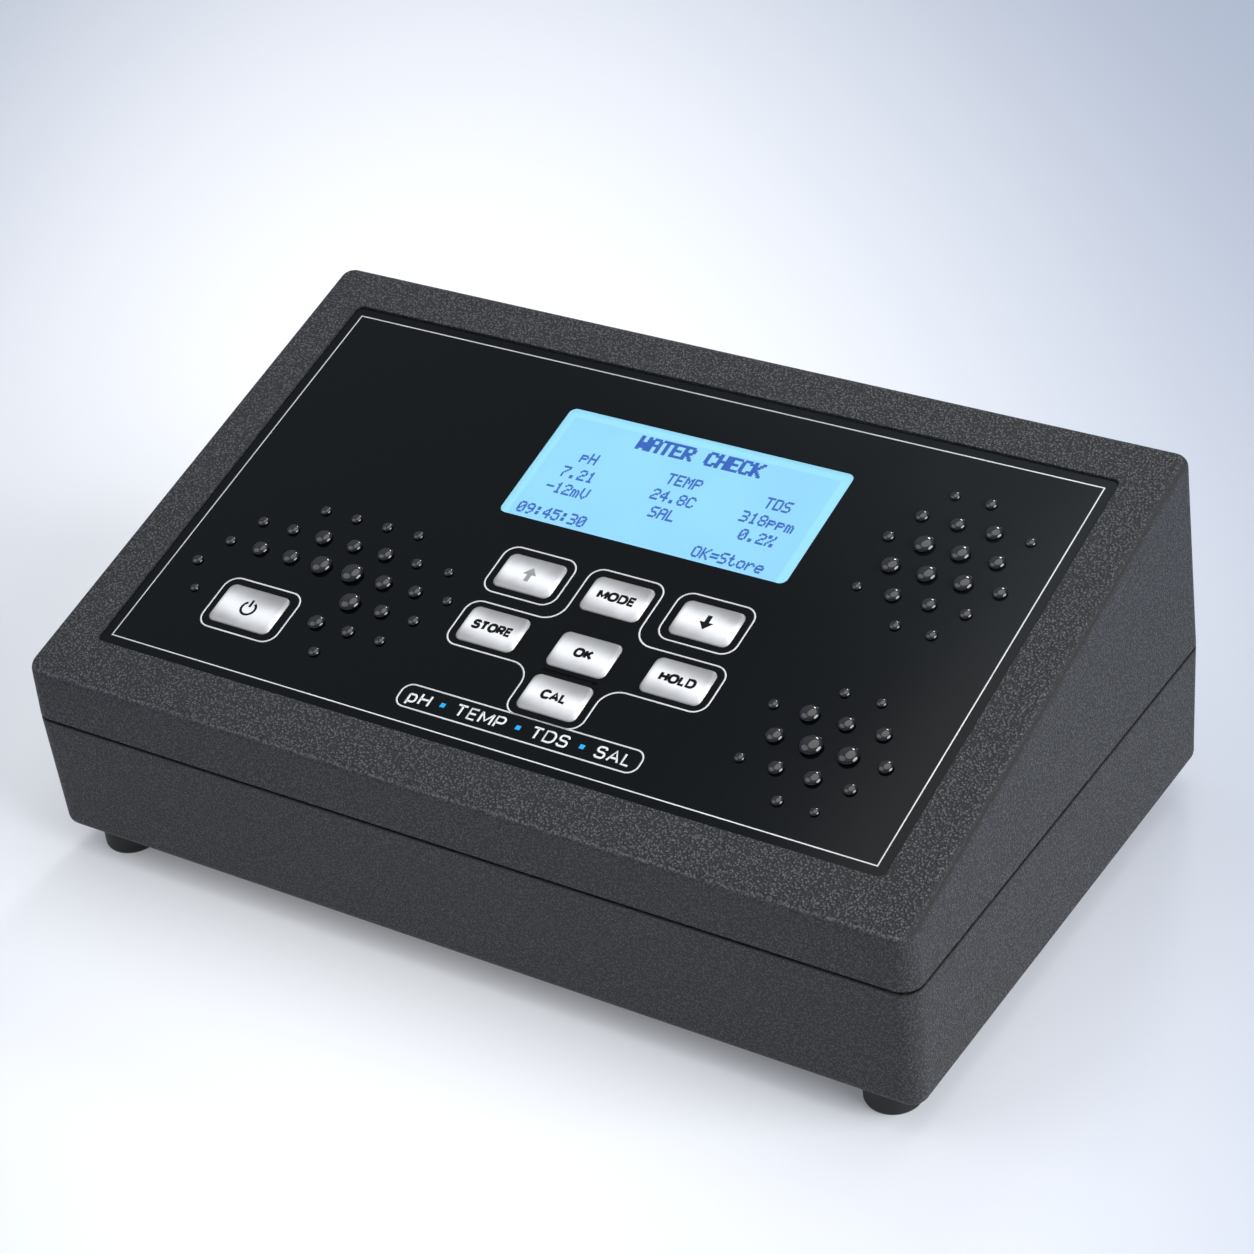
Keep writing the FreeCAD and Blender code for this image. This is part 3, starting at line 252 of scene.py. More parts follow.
# Silver of the keys from their front to their back: place and level, with the lean of its bands
KEY_TONES = ((0.0, 0.36), (0.14, 0.46), (0.34, 0.95), (0.56, 0.97), (0.76, 0.42), (1.0, 0.22))
KEY_LEAN = 0.16
KEY_WOBBLE = 5 * MM
KEY_SPARKLE = 0.12 * MM
KEY_ROUGHNESS = (0.30, 0.46)
KEY_CORNER = (0.30, 0.31, 0.33, 1)
SILVER_TINT = (1.0, 1.01, 1.03)

# How fast a key greys towards its sides and its ends, and how much at the corners
CORNER_POWERS = (5.0, 2.0)
CORNER_SHADE = 0.7

# The printed film: where a painted sheen lightens it from front left to back right, its slow clouds, and its gloss
FILM_FADE = (0.2, 2.1)
FILM_CLOUD = 30 * MM
FILM_CLOUDING = (0.7, 1.2)
FILM_ROUGHNESS = (0.11, 0.16)
# Gloss and grain of the painted shadow round each key
SURROUND_ROUGHNESS = (0.12, 0.16)
SURROUND_GRAIN = 0.5 * MM

# Inks and glosses of the keypad
PRINT_WHITE = (0.86, 0.87, 0.88)
STUD_BLACK = (0.0035, 0.0042, 0.005)
LEGEND_BLACK = (0.002, 0.002, 0.0022)
LEGEND_GREY = (0.31, 0.31, 0.32)
# Deep black of the painted shadow round each key
KEY_SHADOW_BLACK = (0.0016, 0.0017, 0.0019, 1)
PRINT_RELIEF = 0.002
PRINT_SPREAD = 0.05

# Shape of a key and of the painted shadow round it; a key's plan is taken above its skirt
KEY_CORNER_RADIUS = 1.7 * MM
LEAST_CORNER = 0.25 * MM
CORNER_SHRINK = 0.8
KEY_STEPS = 6
KEY_SKIRT = -1 * MM
SURROUND_GAP = 0.15 * MM
SURROUND_LIFT = 0.015 * MM

# The display: how far its lit face reaches past the window and lies below the bezel, and its dots
PANE_SKIN = 0.2 * MM
LIT_OVERLAP = 0.9 * MM
LIT_SINK = 0.02 * MM
LIT_CORNER = 0.3 * MM
LIT_CLOUD = 22 * MM
LIT_BODY = (0.02, 0.05, 0.08, 1)
LIT_BODY_EDGE = (0.03, 0.07, 0.1, 1)
INK_BODY = (0.01, 0.05, 0.2)
PANE_TINT = (0.94, 0.98, 1.0)

# Where the lighter border of the lit face ends: axis, share of the face, and 1 if the border comes first
LIT_EDGES = ((0, 0.027, 1.0), (0, 0.955, 0.0), (1, 0.935, 0.0))
LIT_BLUR = 0.004

# The height of a dot, and how much wider it is in bold
DOT_HEIGHT = 0.015 * MM
BOLD_DOT = 1.25


def colour_field(name, description, default):
    return FloatVectorProperty(name=name, description=description, default=default, subtype="COLOR", size=3,
                               min=0, max=1)


def length_field(name, description, default):
    return FloatProperty(name=name, description=description, default=default, subtype="DISTANCE",
                         unit="LENGTH")


def angle_field(name, description, degrees):
    return FloatProperty(name=name, description=description, default=math.radians(degrees), subtype="ANGLE")


class CaseSettings(bpy.types.PropertyGroup):
    colour: colour_field("Plastic Colour", "Colour of the moulded case", (0.033, 0.0345, 0.038))
    grain: length_field("Grain Size", "Distance between the bumps of the moulded grain", 0.54 * MM)
    wall_grain: length_field("Wall Grain Size", "Distance between the bumps of the walls' grain", 0.45 * MM)
    relief: length_field("Grain Relief", "Height of the moulded grain", 0.38 * MM)
    edge: length_field("Edge Round", "Rounding of the recess and of the parting line", 0.35 * MM)
    rubber: colour_field("Rubber Colour", "Colour of the feet", (0.0055, 0.0055, 0.006))


class KeypadSettings(bpy.types.PropertyGroup):
    film: colour_field("Film Colour", "Colour of the printed overlay", (0.0014, 0.0027, 0.0042))
    silver: colour_field("Line Colour", "Colour of the printed outlines", (0.74, 0.76, 0.78))
    accent: colour_field("Accent Colour", "Colour of the small marks in the strip", (0.0, 0.42, 0.95))
    # Painted sheen: the colour the film is lightened to at its back right
    painted_sheen: colour_field("Film Sheen", "Colour that the overlay fades to at its back right",
                        (0.010, 0.0135, 0.016))
    line: length_field("Line Width", "Width of the printed outlines", 0.37 * MM)
    frame_line: length_field("Frame Line Width", "Width of the line round the whole panel", 0.4 * MM)
    print_height: length_field("Print Height", "Thickness of the printing", 0.04 * MM)
    shoulder: length_field("Key Shoulder", "How far in a key's rounded edge reaches", 1.1 * MM)
    crown: length_field("Key Crown Edge", "Width of the level band inside a key's rounded edge", 0.3 * MM)
    # The deep black border round a key is painted shadow
    shadow_reach: length_field("Key Surround", "Width of the deep black border round a key", 1.5 * MM)


class DisplaySettings(bpy.types.PropertyGroup):
    lit: colour_field("Backlight Colour", "Colour of the lit display", (0.300, 0.715, 1.0))
    ink: colour_field("Dot Colour", "Colour of the dark dots", (0.001, 0.09, 0.42))
    dot_across: length_field("Dot Pitch Across", "Distance between dots along a line", 0.37 * MM)
    dot_down: length_field("Dot Pitch Down", "Distance between rows of dots", 0.44 * MM)
    heading: FloatProperty(name="Heading Size", description="Size of the heading beside the other lines",
                           default=1.3)
    fill: FloatProperty(name="Dot Fill", description="Share of its place that a dot fills", default=1.28)


class StudSettings(bpy.types.PropertyGroup):
    pitch: length_field("Stud Pitch", "Distance between neighbouring studs", 8.4 * MM)
    radius: length_field("Stud Radius", "Radius of the largest stud", 4.5 * MM)
    height: length_field("Stud Height", "Height of the largest stud", 2.1 * MM)
    smallest: FloatProperty(name="Smallest Stud", description="Share of the radius left at a field's edge",
                            default=0.40)
    seed: IntProperty(name="Seed", description="Seed of the studs' uneven sizes", default=4)


class StudioSettings(bpy.types.PropertyGroup):
    aim: FloatVectorProperty(name="Aim", description="Point that the camera looks at",
                             subtype="TRANSLATION",
                             size=3, default=(6.01 * MM, -5.04 * MM, 52.0 * MM))
    azimuth: angle_field("Azimuth", "Turn of the view to the right", 36.363)
    elevation: angle_field("Elevation", "Height of the view", 34.088)
    roll: angle_field("Roll", "Tilt of the view", -7.074)
    distance: length_field("Distance", "From the camera to its aim", 731.9 * MM)
    lens: FloatProperty(name="Focal Length", description="Focal length in millimetres", default=98.24)
    floor: colour_field("Floor Colour", "Colour of the floor and backdrop", (0.86, 0.87, 0.895))
    # The painted falloff of light far to the floor's sides
    floor_falloff: colour_field("Floor Edge Colour", "Colour of the floor far to the sides",
                             (0.33, 0.37, 0.455))
    level: FloatProperty(name="Light Level", description="Brightness of all the lamps together",
                         default=1.05)


class MeterSettings(bpy.types.PropertyGroup):
    case: PointerProperty(name="Case", description="Finish of the case", type=CaseSettings)
    keypad: PointerProperty(name="Keypad", description="Finish of the keypad", type=KeypadSettings)
    display: PointerProperty(name="Display", description="Look of the display", type=DisplaySettings)
    studs: PointerProperty(name="Studs", description="Embossed design of the overlay", type=StudSettings)
    studio: PointerProperty(name="Studio", description="Camera, floor and lamps", type=StudioSettings)


def face_frame():
    """The sloped face's own frame: X right, Y up the slope, Z out of it, zero on top of the overlay."""
    normal = -Vector(frame["joints"][0]["axis"]).normalized()
    across = Vector((1, 0, 0))
    turn = Matrix((across, normal.cross(across), normal)).transposed()
    top = max(vertex.co.dot(normal) for vertex in frame["nodes"]["overlay"].data.vertices)
    low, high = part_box("overlay")
    centre = (low + high) / 2
    return Matrix.Translation(centre + (top - centre.dot(normal)) * normal) @ turn.to_4x4()


FACE = face_frame()
FACE_BACK = FACE.inverted()


def face_box(node, above=-math.inf):
    """Lowest and highest corner, in the face's frame, of a node's points above a height."""
    points = [FACE_BACK @ vertex.co for vertex in frame["nodes"][node].data.vertices]
    points = [point for point in points if point.z > above]
    low = Vector([min(point[axis] for point in points) for axis in range(3)])
    high = Vector([max(point[axis] for point in points) for axis in range(3)])
    return low, high


def panel(across, down):
    """A point of the printed panel, given in millimetres, in the face's frame."""
    return across * MM - PANEL_WIDTH / 2, PANEL_DEPTH / 2 - down * MM


# Node trees


def new_tree(name, kind, inputs, outputs):
    """A node tree with named sockets: the tree, what it is given, and its end."""
    tree = bpy.data.node_groups.new(name, kind)
    for word, socket, value in inputs:
        item = tree.interface.new_socket(word, in_out="INPUT", socket_type=f"NodeSocket{socket}")
        if value is not None:
            item.default_value = value
    for word, socket in outputs:
        tree.interface.new_socket(word, in_out="OUTPUT", socket_type=f"NodeSocket{socket}")
    return tree, tree.nodes.new("NodeGroupInput").outputs, tree.nodes.new("NodeGroupOutput")


def feed(tree, node, sockets):
    """Join or set a node's inputs."""
    for key, value in sockets.items():
        if isinstance(value, bpy.types.NodeSocket):
            tree.links.new(value, node.inputs[key])
        else:
            node.inputs[key].default_value = value


def add(tree, kind, sockets, **settings):
    """Add a node, choose its options, and join or set its inputs."""
    node = tree.nodes.new(kind)
    for word, value in settings.items():
        setattr(node, word, value)
    feed(tree, node, sockets)
    return node.outputs


def maths(tree, operation, *values):
    return add(tree, "ShaderNodeMath", dict(enumerate(values)), operation=operation)[0]


def total(tree, first, *others):
    for other in others:
        first = maths(tree, "ADD", first, other)
    return first


def product(tree, first, *others):
    for other in others:
        first = maths(tree, "MULTIPLY", first, other)
    return first


def distance_from(tree, value, level):
    return maths(tree, "ABSOLUTE", maths(tree, "SUBTRACT", value, level))


def swing(tree, value, reach):
    """A value from 0 to 1 turned into a swing about zero."""
    return product(tree, maths(tree, "SUBTRACT", value, 0.5), reach)


def vector_maths(tree, operation, sockets, output="Vector"):
    return add(tree, "ShaderNodeVectorMath", sockets, operation=operation)[output]


def split(tree, vector):
    return add(tree, "ShaderNodeSeparateXYZ", {0: vector})


def packed(tree, *values):
    return add(tree, "ShaderNodeCombineXYZ", dict(enumerate(values)))[0]


def mapped(tree, value, low, high, start=0.0, end=1.0, smooth=False):
    """A value between low and high, carried to between start and end."""
    return add(tree, "ShaderNodeMapRange",
               {"Value": value, "From Min": low, "From Max": high, "To Min": start, "To Max": end},
               interpolation_type="SMOOTHSTEP" if smooth else "LINEAR")[0]


def between(tree, share, start, end):
    return mapped(tree, share, 0.0, 1.0, start, end)


def noise(tree, vector, scale, detail=1.0, roughness=0.5, output="Fac"):
    return add(tree, "ShaderNodeTexNoise",
               {"Vector": vector, "Scale": scale, "Detail": detail, "Roughness": roughness})[output]


def blend_values(tree, share, first, second):
    return add(tree, "ShaderNodeMix", {0: share, 2: first, 3: second})[0]


def blend_colours(tree, share, first, second):
    return add(tree, "ShaderNodeMix", {0: share, 6: first, 7: second}, data_type="RGBA")[2]


def bumped(tree, height, distance):
    return add(tree, "ShaderNodeBump", {"Height": height, "Distance": distance})[0]


def toned(colour, factor=1.0):
    """A colour made darker or lighter, with its alpha."""
    return (*[part * factor for part in colour], 1)


def make_grain_group():
    """Leathery moulded grain: rounded cells under a finer roughness."""
    tree, given, end = new_tree(
        "Moulded Grain", "ShaderNodeTree",
        [("Vector", "Vector", None), ("Size", "Float", 0.7 * MM), ("Warp Density", "Float", 0.6),
         ("Fine Density", "Float", 2.6), ("Cell Height", "Float", 0.65), ("Fine Height", "Float", 0.55)],
        [("Height", "Float"), ("Tone", "Float")])
    density = maths(tree, "DIVIDE", 1.0, given["Size"])
    warp = noise(tree, given["Vector"], product(tree, density, given["Warp Density"]), output="Color")
    shift = vector_maths(tree, "SCALE", {0: warp, "Scale": given["Size"]})
    warped = vector_maths(tree, "ADD", {0: given["Vector"], 1: shift})
    cells = add(tree, "ShaderNodeTexVoronoi", {"Vector": warped, "Scale": density, "Smoothness": 0.35},
                feature="SMOOTH_F1")["Distance"]
    bumps = mapped(tree, cells, 0.1, 0.75, 1.0, 0.0, smooth=True)
    fine = noise(tree, given["Vector"], product(tree, density, given["Fine Density"]), 2.0, 0.6)
    coarse = product(tree, bumps, given["Cell Height"])
    height = total(tree, coarse, product(tree, fine, given["Fine Height"]))
    # The tone follows the bumps; the case paints it as shade and highlight
    feed(tree, end, {"Height": height, "Tone": product(tree, bumps, fine)})
    return tree


def make_patch_group():
    """Slow changes of tone and roughness over a surface, with a fine relief."""
    tree, given, end = new_tree(
        "Surface Patches", "ShaderNodeTree",
        [("Vector", "Vector", None), ("Size", "Float", 2 * MM), ("Colour", "Color", (0.5, 0.5, 0.5, 1)),
         ("Darker", "Float", 0.75), ("Roughness", "Float", 0.4), ("Spread", "Float", 0.1),
         ("Fine Density", "Float", 7.0)],
        [("Colour", "Color"), ("Roughness", "Float"), ("Height", "Float")])
    density = maths(tree, "DIVIDE", 1.0, given["Size"])
    slow = noise(tree, given["Vector"], density, 3.0)
    fine = noise(tree, given["Vector"], product(tree, density, given["Fine Density"]), 2.0)
    dark = vector_maths(tree, "SCALE", {0: given["Colour"], "Scale": given["Darker"]})
    colour = blend_colours(tree, mapped(tree, slow, 0.35, 0.65), dark, given["Colour"])
    rough = total(tree, given["Roughness"], swing(tree, fine, given["Spread"]))
    feed(tree, end, {"Colour": colour, "Roughness": rough, "Height": fine})
    return tree


GROUPS = {}


def set_up_material(name):
    """An empty material: its tree, its shader, and its object coordinates."""
    material = bpy.data.materials.new(name)
    material.use_nodes = True
    tree = material.node_tree
    place = add(tree, "ShaderNodeTexCoord", {})["Object"]
    return material, tree, tree.nodes["Principled BSDF"], place


def patchy(name, colour, roughness, metallic=0.0, patch=2.0, relief=0.01, darker=0.75, spread=0.12,
           constants=None):
    """A finish with slow patches of tone and roughness; patch and relief are in millimetres."""
    material, tree, shader, place = set_up_material(name)
    patches = add(tree, "ShaderNodeGroup",
                  {"Vector": place, "Size": patch * MM, "Colour": toned(colour), "Darker": darker,
                   "Roughness": roughness, "Spread": spread}, node_tree=GROUPS["patches"])
    feed(tree, shader, {"Base Color": patches["Colour"], "Roughness": patches["Roughness"],
                        "Normal": bumped(tree, patches["Height"], relief * MM), "Metallic": metallic,
                        **(constants or {})})
    return material


def case_material(settings, seam):
    """Charcoal plastic: a deep leathery grain on the sloped border, a fine one on the walls."""
    material, tree, shader, place = set_up_material("case_plastic")
    normal = split(tree, add(tree, "ShaderNodeTexCoord", {})["Normal"])
    top = mapped(tree, normal[2], *SLOPE_BEGINS, smooth=True)
    border, wall = [add(tree, "ShaderNodeGroup", {"Vector": place, "Size": size}, node_tree=GROUPS["grain"])
                    for size in (settings.grain, settings.wall_grain)]
    shades = {word: toned(settings.colour, factor) for word, factor in CASE_TONES.items()}
    # Painted shade in the grain's dips, painted highlight on its bumps, and brighter painted glints on the slope
    tone = mapped(tree, blend_values(tree, top, wall["Tone"], border["Tone"]), *TONE_RANGE)
    raised = blend_colours(tree, top, shades["bump_highlight"], shades["painted_glint"])
    colour = blend_colours(tree, tone, shades["dip_shade"], raised)

    crease = mapped(tree, distance_from(tree, normal[2], CREASE_LEAN), 0.0, CREASE_REACH, 1.0, 0.0)
    front = mapped(tree, normal[1], *FRONT_BEGINS)
    side = mapped(tree, normal[0], *SIDE_BEGINS)
    # Painted highlight along the slope's front edge
    front_highlight = maths(tree, "MINIMUM", product(tree, crease, front, border["Tone"], FRONT_HIGHLIGHT_STRENGTH), 1.0)
    colour = blend_colours(tree, front_highlight, colour, shades["front_highlight"])
    # Painted shade along the slope's right edge
    colour = blend_colours(tree, product(tree, crease, side, CREASE_SHADE_STRENGTH), colour, shades["crease"])
    # Painted shade: a black line along the parting seam, where the shadow gap lies
    away = distance_from(tree, split(tree, place)[2], seam)
    gap = mapped(tree, away, settings.edge, SEAM_SHADE_FADE * settings.edge, 1.0, 0.0)
    colour = blend_colours(tree, gap, colour, SEAM_SHADE_BLACK)

    height = blend_values(tree, top, product(tree, wall["Height"], WALL_RELIEF), border["Height"])
    feed(tree, shader, {"Base Color": colour, "Roughness": between(tree, tone, *CASE_ROUGHNESS),
                        "Normal": bumped(tree, height, settings.relief), "Specular IOR Level": 0.45})
    return material


def key_material():
    """Silver print with a bright band from the upper left to the lower right, greyer to the other corners."""
    material, tree, shader, place = set_up_material("key_silver")
    parts = split(tree, add(tree, "ShaderNodeUVMap", {}, uv_map="key")[0])
    wobble = noise(tree, place, 1 / KEY_WOBBLE)
    along = total(tree, parts[1], swing(tree, parts[0], KEY_LEAN), swing(tree, wobble, KEY_LEAN))
    add(tree, "ShaderNodeValToRGB", {"Fac": along})
    ramp = tree.nodes[-1]
    stops = ramp.color_ramp
    stops.interpolation = "B_SPLINE"
    while len(stops.elements) < len(KEY_TONES):
        stops.elements.new(0.5)
    for stop, (position, level) in zip(stops.elements, KEY_TONES):
        stop.position = position
        stop.color = toned(SILVER_TINT, level)
    sides, ends = [maths(tree, "POWER", maths(tree, "ABSOLUTE", swing(tree, part, 2.0)), power)
                   for part, power in zip(parts, CORNER_POWERS)]
    shade = product(tree, sides, ends, CORNER_SHADE)
    shaded = blend_colours(tree, shade, ramp.outputs["Color"], KEY_CORNER)
    sparkle = noise(tree, place, 1 / KEY_SPARKLE)
    feed(tree, shader, {"Base Color": shaded, "Roughness": between(tree, sparkle, *KEY_ROUGHNESS),
                        "Normal": bumped(tree, sparkle, 0.004 * MM), "Metallic": 0.15, "Coat Weight": 0.25,
                        "Coat Roughness": 0.18})
    return material


def film_material(settings):
    """Dark printed film, with a painted sheen that lightens it towards its back right corner."""
    material, tree, shader, place = set_up_material("overlay_film")
    shares = [maths(tree, "DIVIDE", part, reach) for part, reach in zip(split(tree, place), FILM_REACH)]
    fade = mapped(tree, total(tree, *shares), *FILM_FADE, smooth=True)
    cloud = noise(tree, place, 1 / FILM_CLOUD)
    share = product(tree, fade, between(tree, cloud, *FILM_CLOUDING))
    feed(tree, shader, {"Base Color": blend_colours(tree, share, toned(settings.film), toned(settings.painted_sheen)),
                        "Roughness": between(tree, cloud, *FILM_ROUGHNESS), "Specular IOR Level": 0.18})
    return material


def key_shadow_material(settings):
    """Painted shadow round a key: deep black, fading outwards into the overlay's colour."""
    material, tree, shader, place = set_up_material("key_shadow_band")
    fade = add(tree, "ShaderNodeAttribute", {}, attribute_name="fade")["Fac"]
    fine = noise(tree, place, 1 / SURROUND_GRAIN, 2.0)
    feed(tree, shader, {"Base Color": blend_colours(tree, fade, KEY_SHADOW_BLACK, toned(settings.film)),
                        "Roughness": between(tree, fine, *SURROUND_ROUGHNESS), "Specular IOR Level": 0.17})
    return material


def lit_material(settings):
    """The backlit face of the display: pale cyan, lighter along its left, right and upper borders."""
    material, tree, shader, place = set_up_material("display_lit")
    parts = split(tree, add(tree, "ShaderNodeUVMap", {}, uv_map="lit")[0])
    left, right, upper = [mapped(tree, parts[axis], level - LIT_BLUR, level + LIT_BLUR, start, 1.0 - start)
                          for axis, level, start in LIT_EDGES]
    border = maths(tree, "MAXIMUM", maths(tree, "MAXIMUM", left, right), upper)
    bright = (*[min(1, part * 1.12 + 0.03) for part in settings.lit], 1)
    cloud = mapped(tree, noise(tree, place, 1 / LIT_CLOUD), 0.3, 0.7)
    field = blend_colours(tree, cloud, toned(settings.lit, 0.93), toned(settings.lit))
    feed(tree, shader, {"Emission Color": blend_colours(tree, product(tree, border, 0.5), field, bright),
                        "Base Color": blend_colours(tree, border, LIT_BODY, LIT_BODY_EDGE),
                        "Emission Strength": 1.06, "Roughness": 0.5})
    return material


def floor_material(settings):
    """Pale seamless floor with a painted pool of light in its middle, darkening softly to both sides of the view.
    """
    material, tree, shader, place = set_up_material("studio_floor")
    turned = add(tree, "ShaderNodeMapping", {"Vector": place, "Rotation": (0, 0, settings.azimuth)},
                 vector_type="TEXTURE")[0]
    spread = vector_maths(tree, "SUBTRACT", {0: turned, 1: (*FLOOR_LIGHT_MIDDLE, 0)})
    spread = vector_maths(tree, "DIVIDE", {0: spread, 1: (*FLOOR_LIGHT_SPREAD, 1)})
    away = vector_maths(tree, "LENGTH", {0: spread}, "Value")
    away = total(tree, away, swing(tree, noise(tree, place, 1 / FLOOR_CLOUD), FLOOR_WAVER))
    share = mapped(tree, away, 0.0, 1.0, smooth=True)
    colour = blend_colours(tree, share, toned(settings.floor), toned(settings.floor_falloff))
    rays = add(tree, "ShaderNodeLightPath", {})
    seen = total(tree, rays["Is Camera Ray"], rays["Is Glossy Ray"], rays["Is Transmission Ray"])
    feed(tree, shader, {"Base Color": colour, "Emission Color": colour,
                        "Emission Strength": product(tree, seen, FLOOR_GLOW), "Roughness": 0.9,
                        "Specular IOR Level": 0.1})
    return material


# Geometry trees


def send_out(tree, end, geometry, material):
    """Make what has grown real, give it its material, and end the tree with it."""
    whole = add(tree, "GeometryNodeRealizeInstances", {"Geometry": geometry})[0]
    done = add(tree, "GeometryNodeSetMaterial", {"Geometry": whole, "Material": material})[0]
    feed(tree, end, {0: done})
    return tree


def make_line_tree():
    """A printed line of even width along outlines with rounded corners."""
    tree, given, end = new_tree(
        "Printed Line", "GeometryNodeTree",
        [("Outline", "Geometry", None), ("Line Width", "Float", 0.5 * MM),
         ("Line Height", "Float", 0.04 * MM), ("Corner Steps", "Int", 8), ("Ink", "Material", None)],
        [("Print", "Geometry")])
    curve = add(tree, "GeometryNodeMeshToCurve", {"Mesh": given["Outline"]})[0]
    radius = add(tree, "GeometryNodeInputNamedAttribute", {"Name": "corner"}, data_type="FLOAT")["Attribute"]
    rounded = add(tree, "GeometryNodeFilletCurve", {"Curve": curve, "Count": given["Corner Steps"],
                                                    "Radius": radius, "Limit Radius": True}, mode="POLY")[0]
    upright = add(tree, "GeometryNodeSetCurveNormal", {"Curve": rounded}, mode="Z_UP")[0]
    profile = add(tree, "GeometryNodeCurvePrimitiveQuadrilateral",
                  {"Width": given["Line Width"], "Height": given["Line Height"]})[0]
    line = add(tree, "GeometryNodeCurveToMesh",
               {"Curve": upright, "Profile Curve": profile, "Fill Caps": True})[0]
    return send_out(tree, end, line, given["Ink"])


def make_dot_tree():
    """A small square tile on every point."""
    tree, given, end = new_tree(
        "Display Dots", "GeometryNodeTree",
        [("Points", "Geometry", None), ("Dot Size", "Vector", None), ("Ink", "Material", None)],
        [("Dots", "Geometry")])
    tile = add(tree, "GeometryNodeMeshCube", {"Size": given["Dot Size"]})[0]
    placed = add(tree, "GeometryNodeInstanceOnPoints", {"Points": given["Points"], "Instance": tile})[0]
    return send_out(tree, end, placed, given["Ink"])


def make_stud_tree():
    """A honeycomb field of domed hexagonal studs, largest in the middle, with a rectangle kept clear."""
    tree, given, end = new_tree(
        "Stud Field", "GeometryNodeTree",
        [("Carrier", "Geometry", None), ("Columns", "Int", 7), ("Rows", "Int", 7),
         ("Pitch", "Float", 6.6 * MM), ("Radius", "Float", 3 * MM),
         ("Height", "Float", 1 * MM), ("Smallest", "Float", 0.3),
         ("Clear Middle", "Vector", None), ("Clear Size", "Vector", None), ("Field Share", "Float", 0.56),
         ("Dome Power", "Float", 2.4), ("Seed", "Int", 4), ("Finish", "Material", None)],
        [("Studs", "Geometry")])
    row_pitch = product(tree, given["Pitch"], math.sqrt(3) / 2)
    width = product(tree, maths(tree, "SUBTRACT", given["Columns"], 1), given["Pitch"])
    depth = product(tree, maths(tree, "SUBTRACT", given["Rows"], 1), row_pitch)
    counts = {"Vertices X": given["Columns"], "Vertices Y": given["Rows"]}
    grid = add(tree, "GeometryNodeMeshGrid", {"Size X": width, "Size Y": depth, **counts})[0]
    spot = add(tree, "GeometryNodeInputPosition", {})[0]
    from_edge = total(tree, split(tree, spot)[1], product(tree, depth, 0.5))
    row = maths(tree, "ROUND", maths(tree, "DIVIDE", from_edge, row_pitch))
    shift = product(tree, swing(tree, maths(tree, "MODULO", row, 2), given["Pitch"]), 0.5)
    lattice = add(tree, "GeometryNodeSetPosition", {"Geometry": grid, "Offset": packed(tree, shift)})[0]

    half = packed(tree, *[product(tree, side, given["Field Share"]) for side in (width, depth)], 1.0)
    away = vector_maths(tree, "LENGTH", {0: vector_maths(tree, "DIVIDE", {0: spot, 1: half})}, "Value")
    gap = vector_maths(tree, "SUBTRACT", {0: spot, 1: given["Clear Middle"]})
    gap = vector_maths(tree, "ABSOLUTE", {0: gap})
    gap = split(tree, vector_maths(tree, "SUBTRACT", {0: gap, 1: given["Clear Size"]}))
    outside = maths(tree, "GREATER_THAN", maths(tree, "MAXIMUM", gap[0], gap[1]), 0.0)
    chosen = product(tree, maths(tree, "LESS_THAN", away, 1.0), outside)

    uneven = add(tree, "FunctionNodeRandomValue", {"Min": 0.78, "Max": 1.06, "Seed": given["Seed"]},
                 data_type="FLOAT")
    drawn = next(socket for socket in uneven if socket.enabled)
    size = product(tree, mapped(tree, away, 0.0, 1.0, 1.0, given["Smallest"]), drawn)
    plan = product(tree, size, given["Radius"])
    scale = packed(tree, plan, plan, product(tree, size, given["Height"]))

    stud = add(tree, "GeometryNodeMeshCone", {"Vertices": 6, "Side Segments": 4, "Radius Top": 0.0,
                                              "Radius Bottom": 1.0, "Depth": 1.0})[0]
    cone = split(tree, spot)
    reach = maths(tree, "POWER", maths(tree, "SUBTRACT", 1.0, cone[2]), given["Dome Power"])
    rise = maths(tree, "SQRT", maths(tree, "SUBTRACT", 1.0, reach))
    domed = packed(tree, cone[0], cone[1], rise)
    stud = add(tree, "GeometryNodeSetPosition", {"Geometry": stud, "Position": domed})[0]
    stud = add(tree, "GeometryNodeSubdivisionSurface", {"Mesh": stud, "Level": 2})[0]
    stud = add(tree, "GeometryNodeSetShadeSmooth", {"Geometry": stud})[0]
    placed = add(tree, "GeometryNodeInstanceOnPoints",
                 {"Points": lattice, "Selection": chosen, "Instance": stud, "Scale": scale})[0]
    return send_out(tree, end, placed, given["Finish"])


# Meshes and pieces


slots = {part["node"]: part["material_slot"] for part in frame["record"]["subparts"]}


def put(name, data):
    """Put a mesh, a lamp or a camera into the scene."""
    thing = bpy.data.objects.new(name, data)
    bpy.context.scene.collection.objects.link(thing)
    return thing


def grown(source, tree, inputs, where=Matrix.Identity(4)):
    """Run a geometry tree on a mesh, and return the plain mesh that it makes, laid on the face."""
    carrier = put("carrier", source)
    modifier = carrier.modifiers.new("Growth", "NODES")
    modifier.node_group = tree
    for item in tree.interface.items_tree:
        if item.in_out == "INPUT" and item.name in inputs:
            modifier[item.identifier] = inputs[item.name]
    graph = bpy.context.evaluated_depsgraph_get()
    mesh = bpy.data.meshes.new_from_object(carrier.evaluated_get(graph))
    bpy.data.objects.remove(carrier)
    mesh.transform(FACE @ where)
    return mesh


def point_mesh(points, edges=()):
    mesh = bpy.data.meshes.new("points")
    mesh.from_pydata(points, edges, [])
    return mesh


def piece(name, mesh, body, slot, *replaced):
    """Link a finished mesh, and say what it rides on and stands for; its slot is not used."""
    thing = put(name, mesh)
    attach(thing, body)
    if replaced:
        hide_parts(*replaced)
    return thing


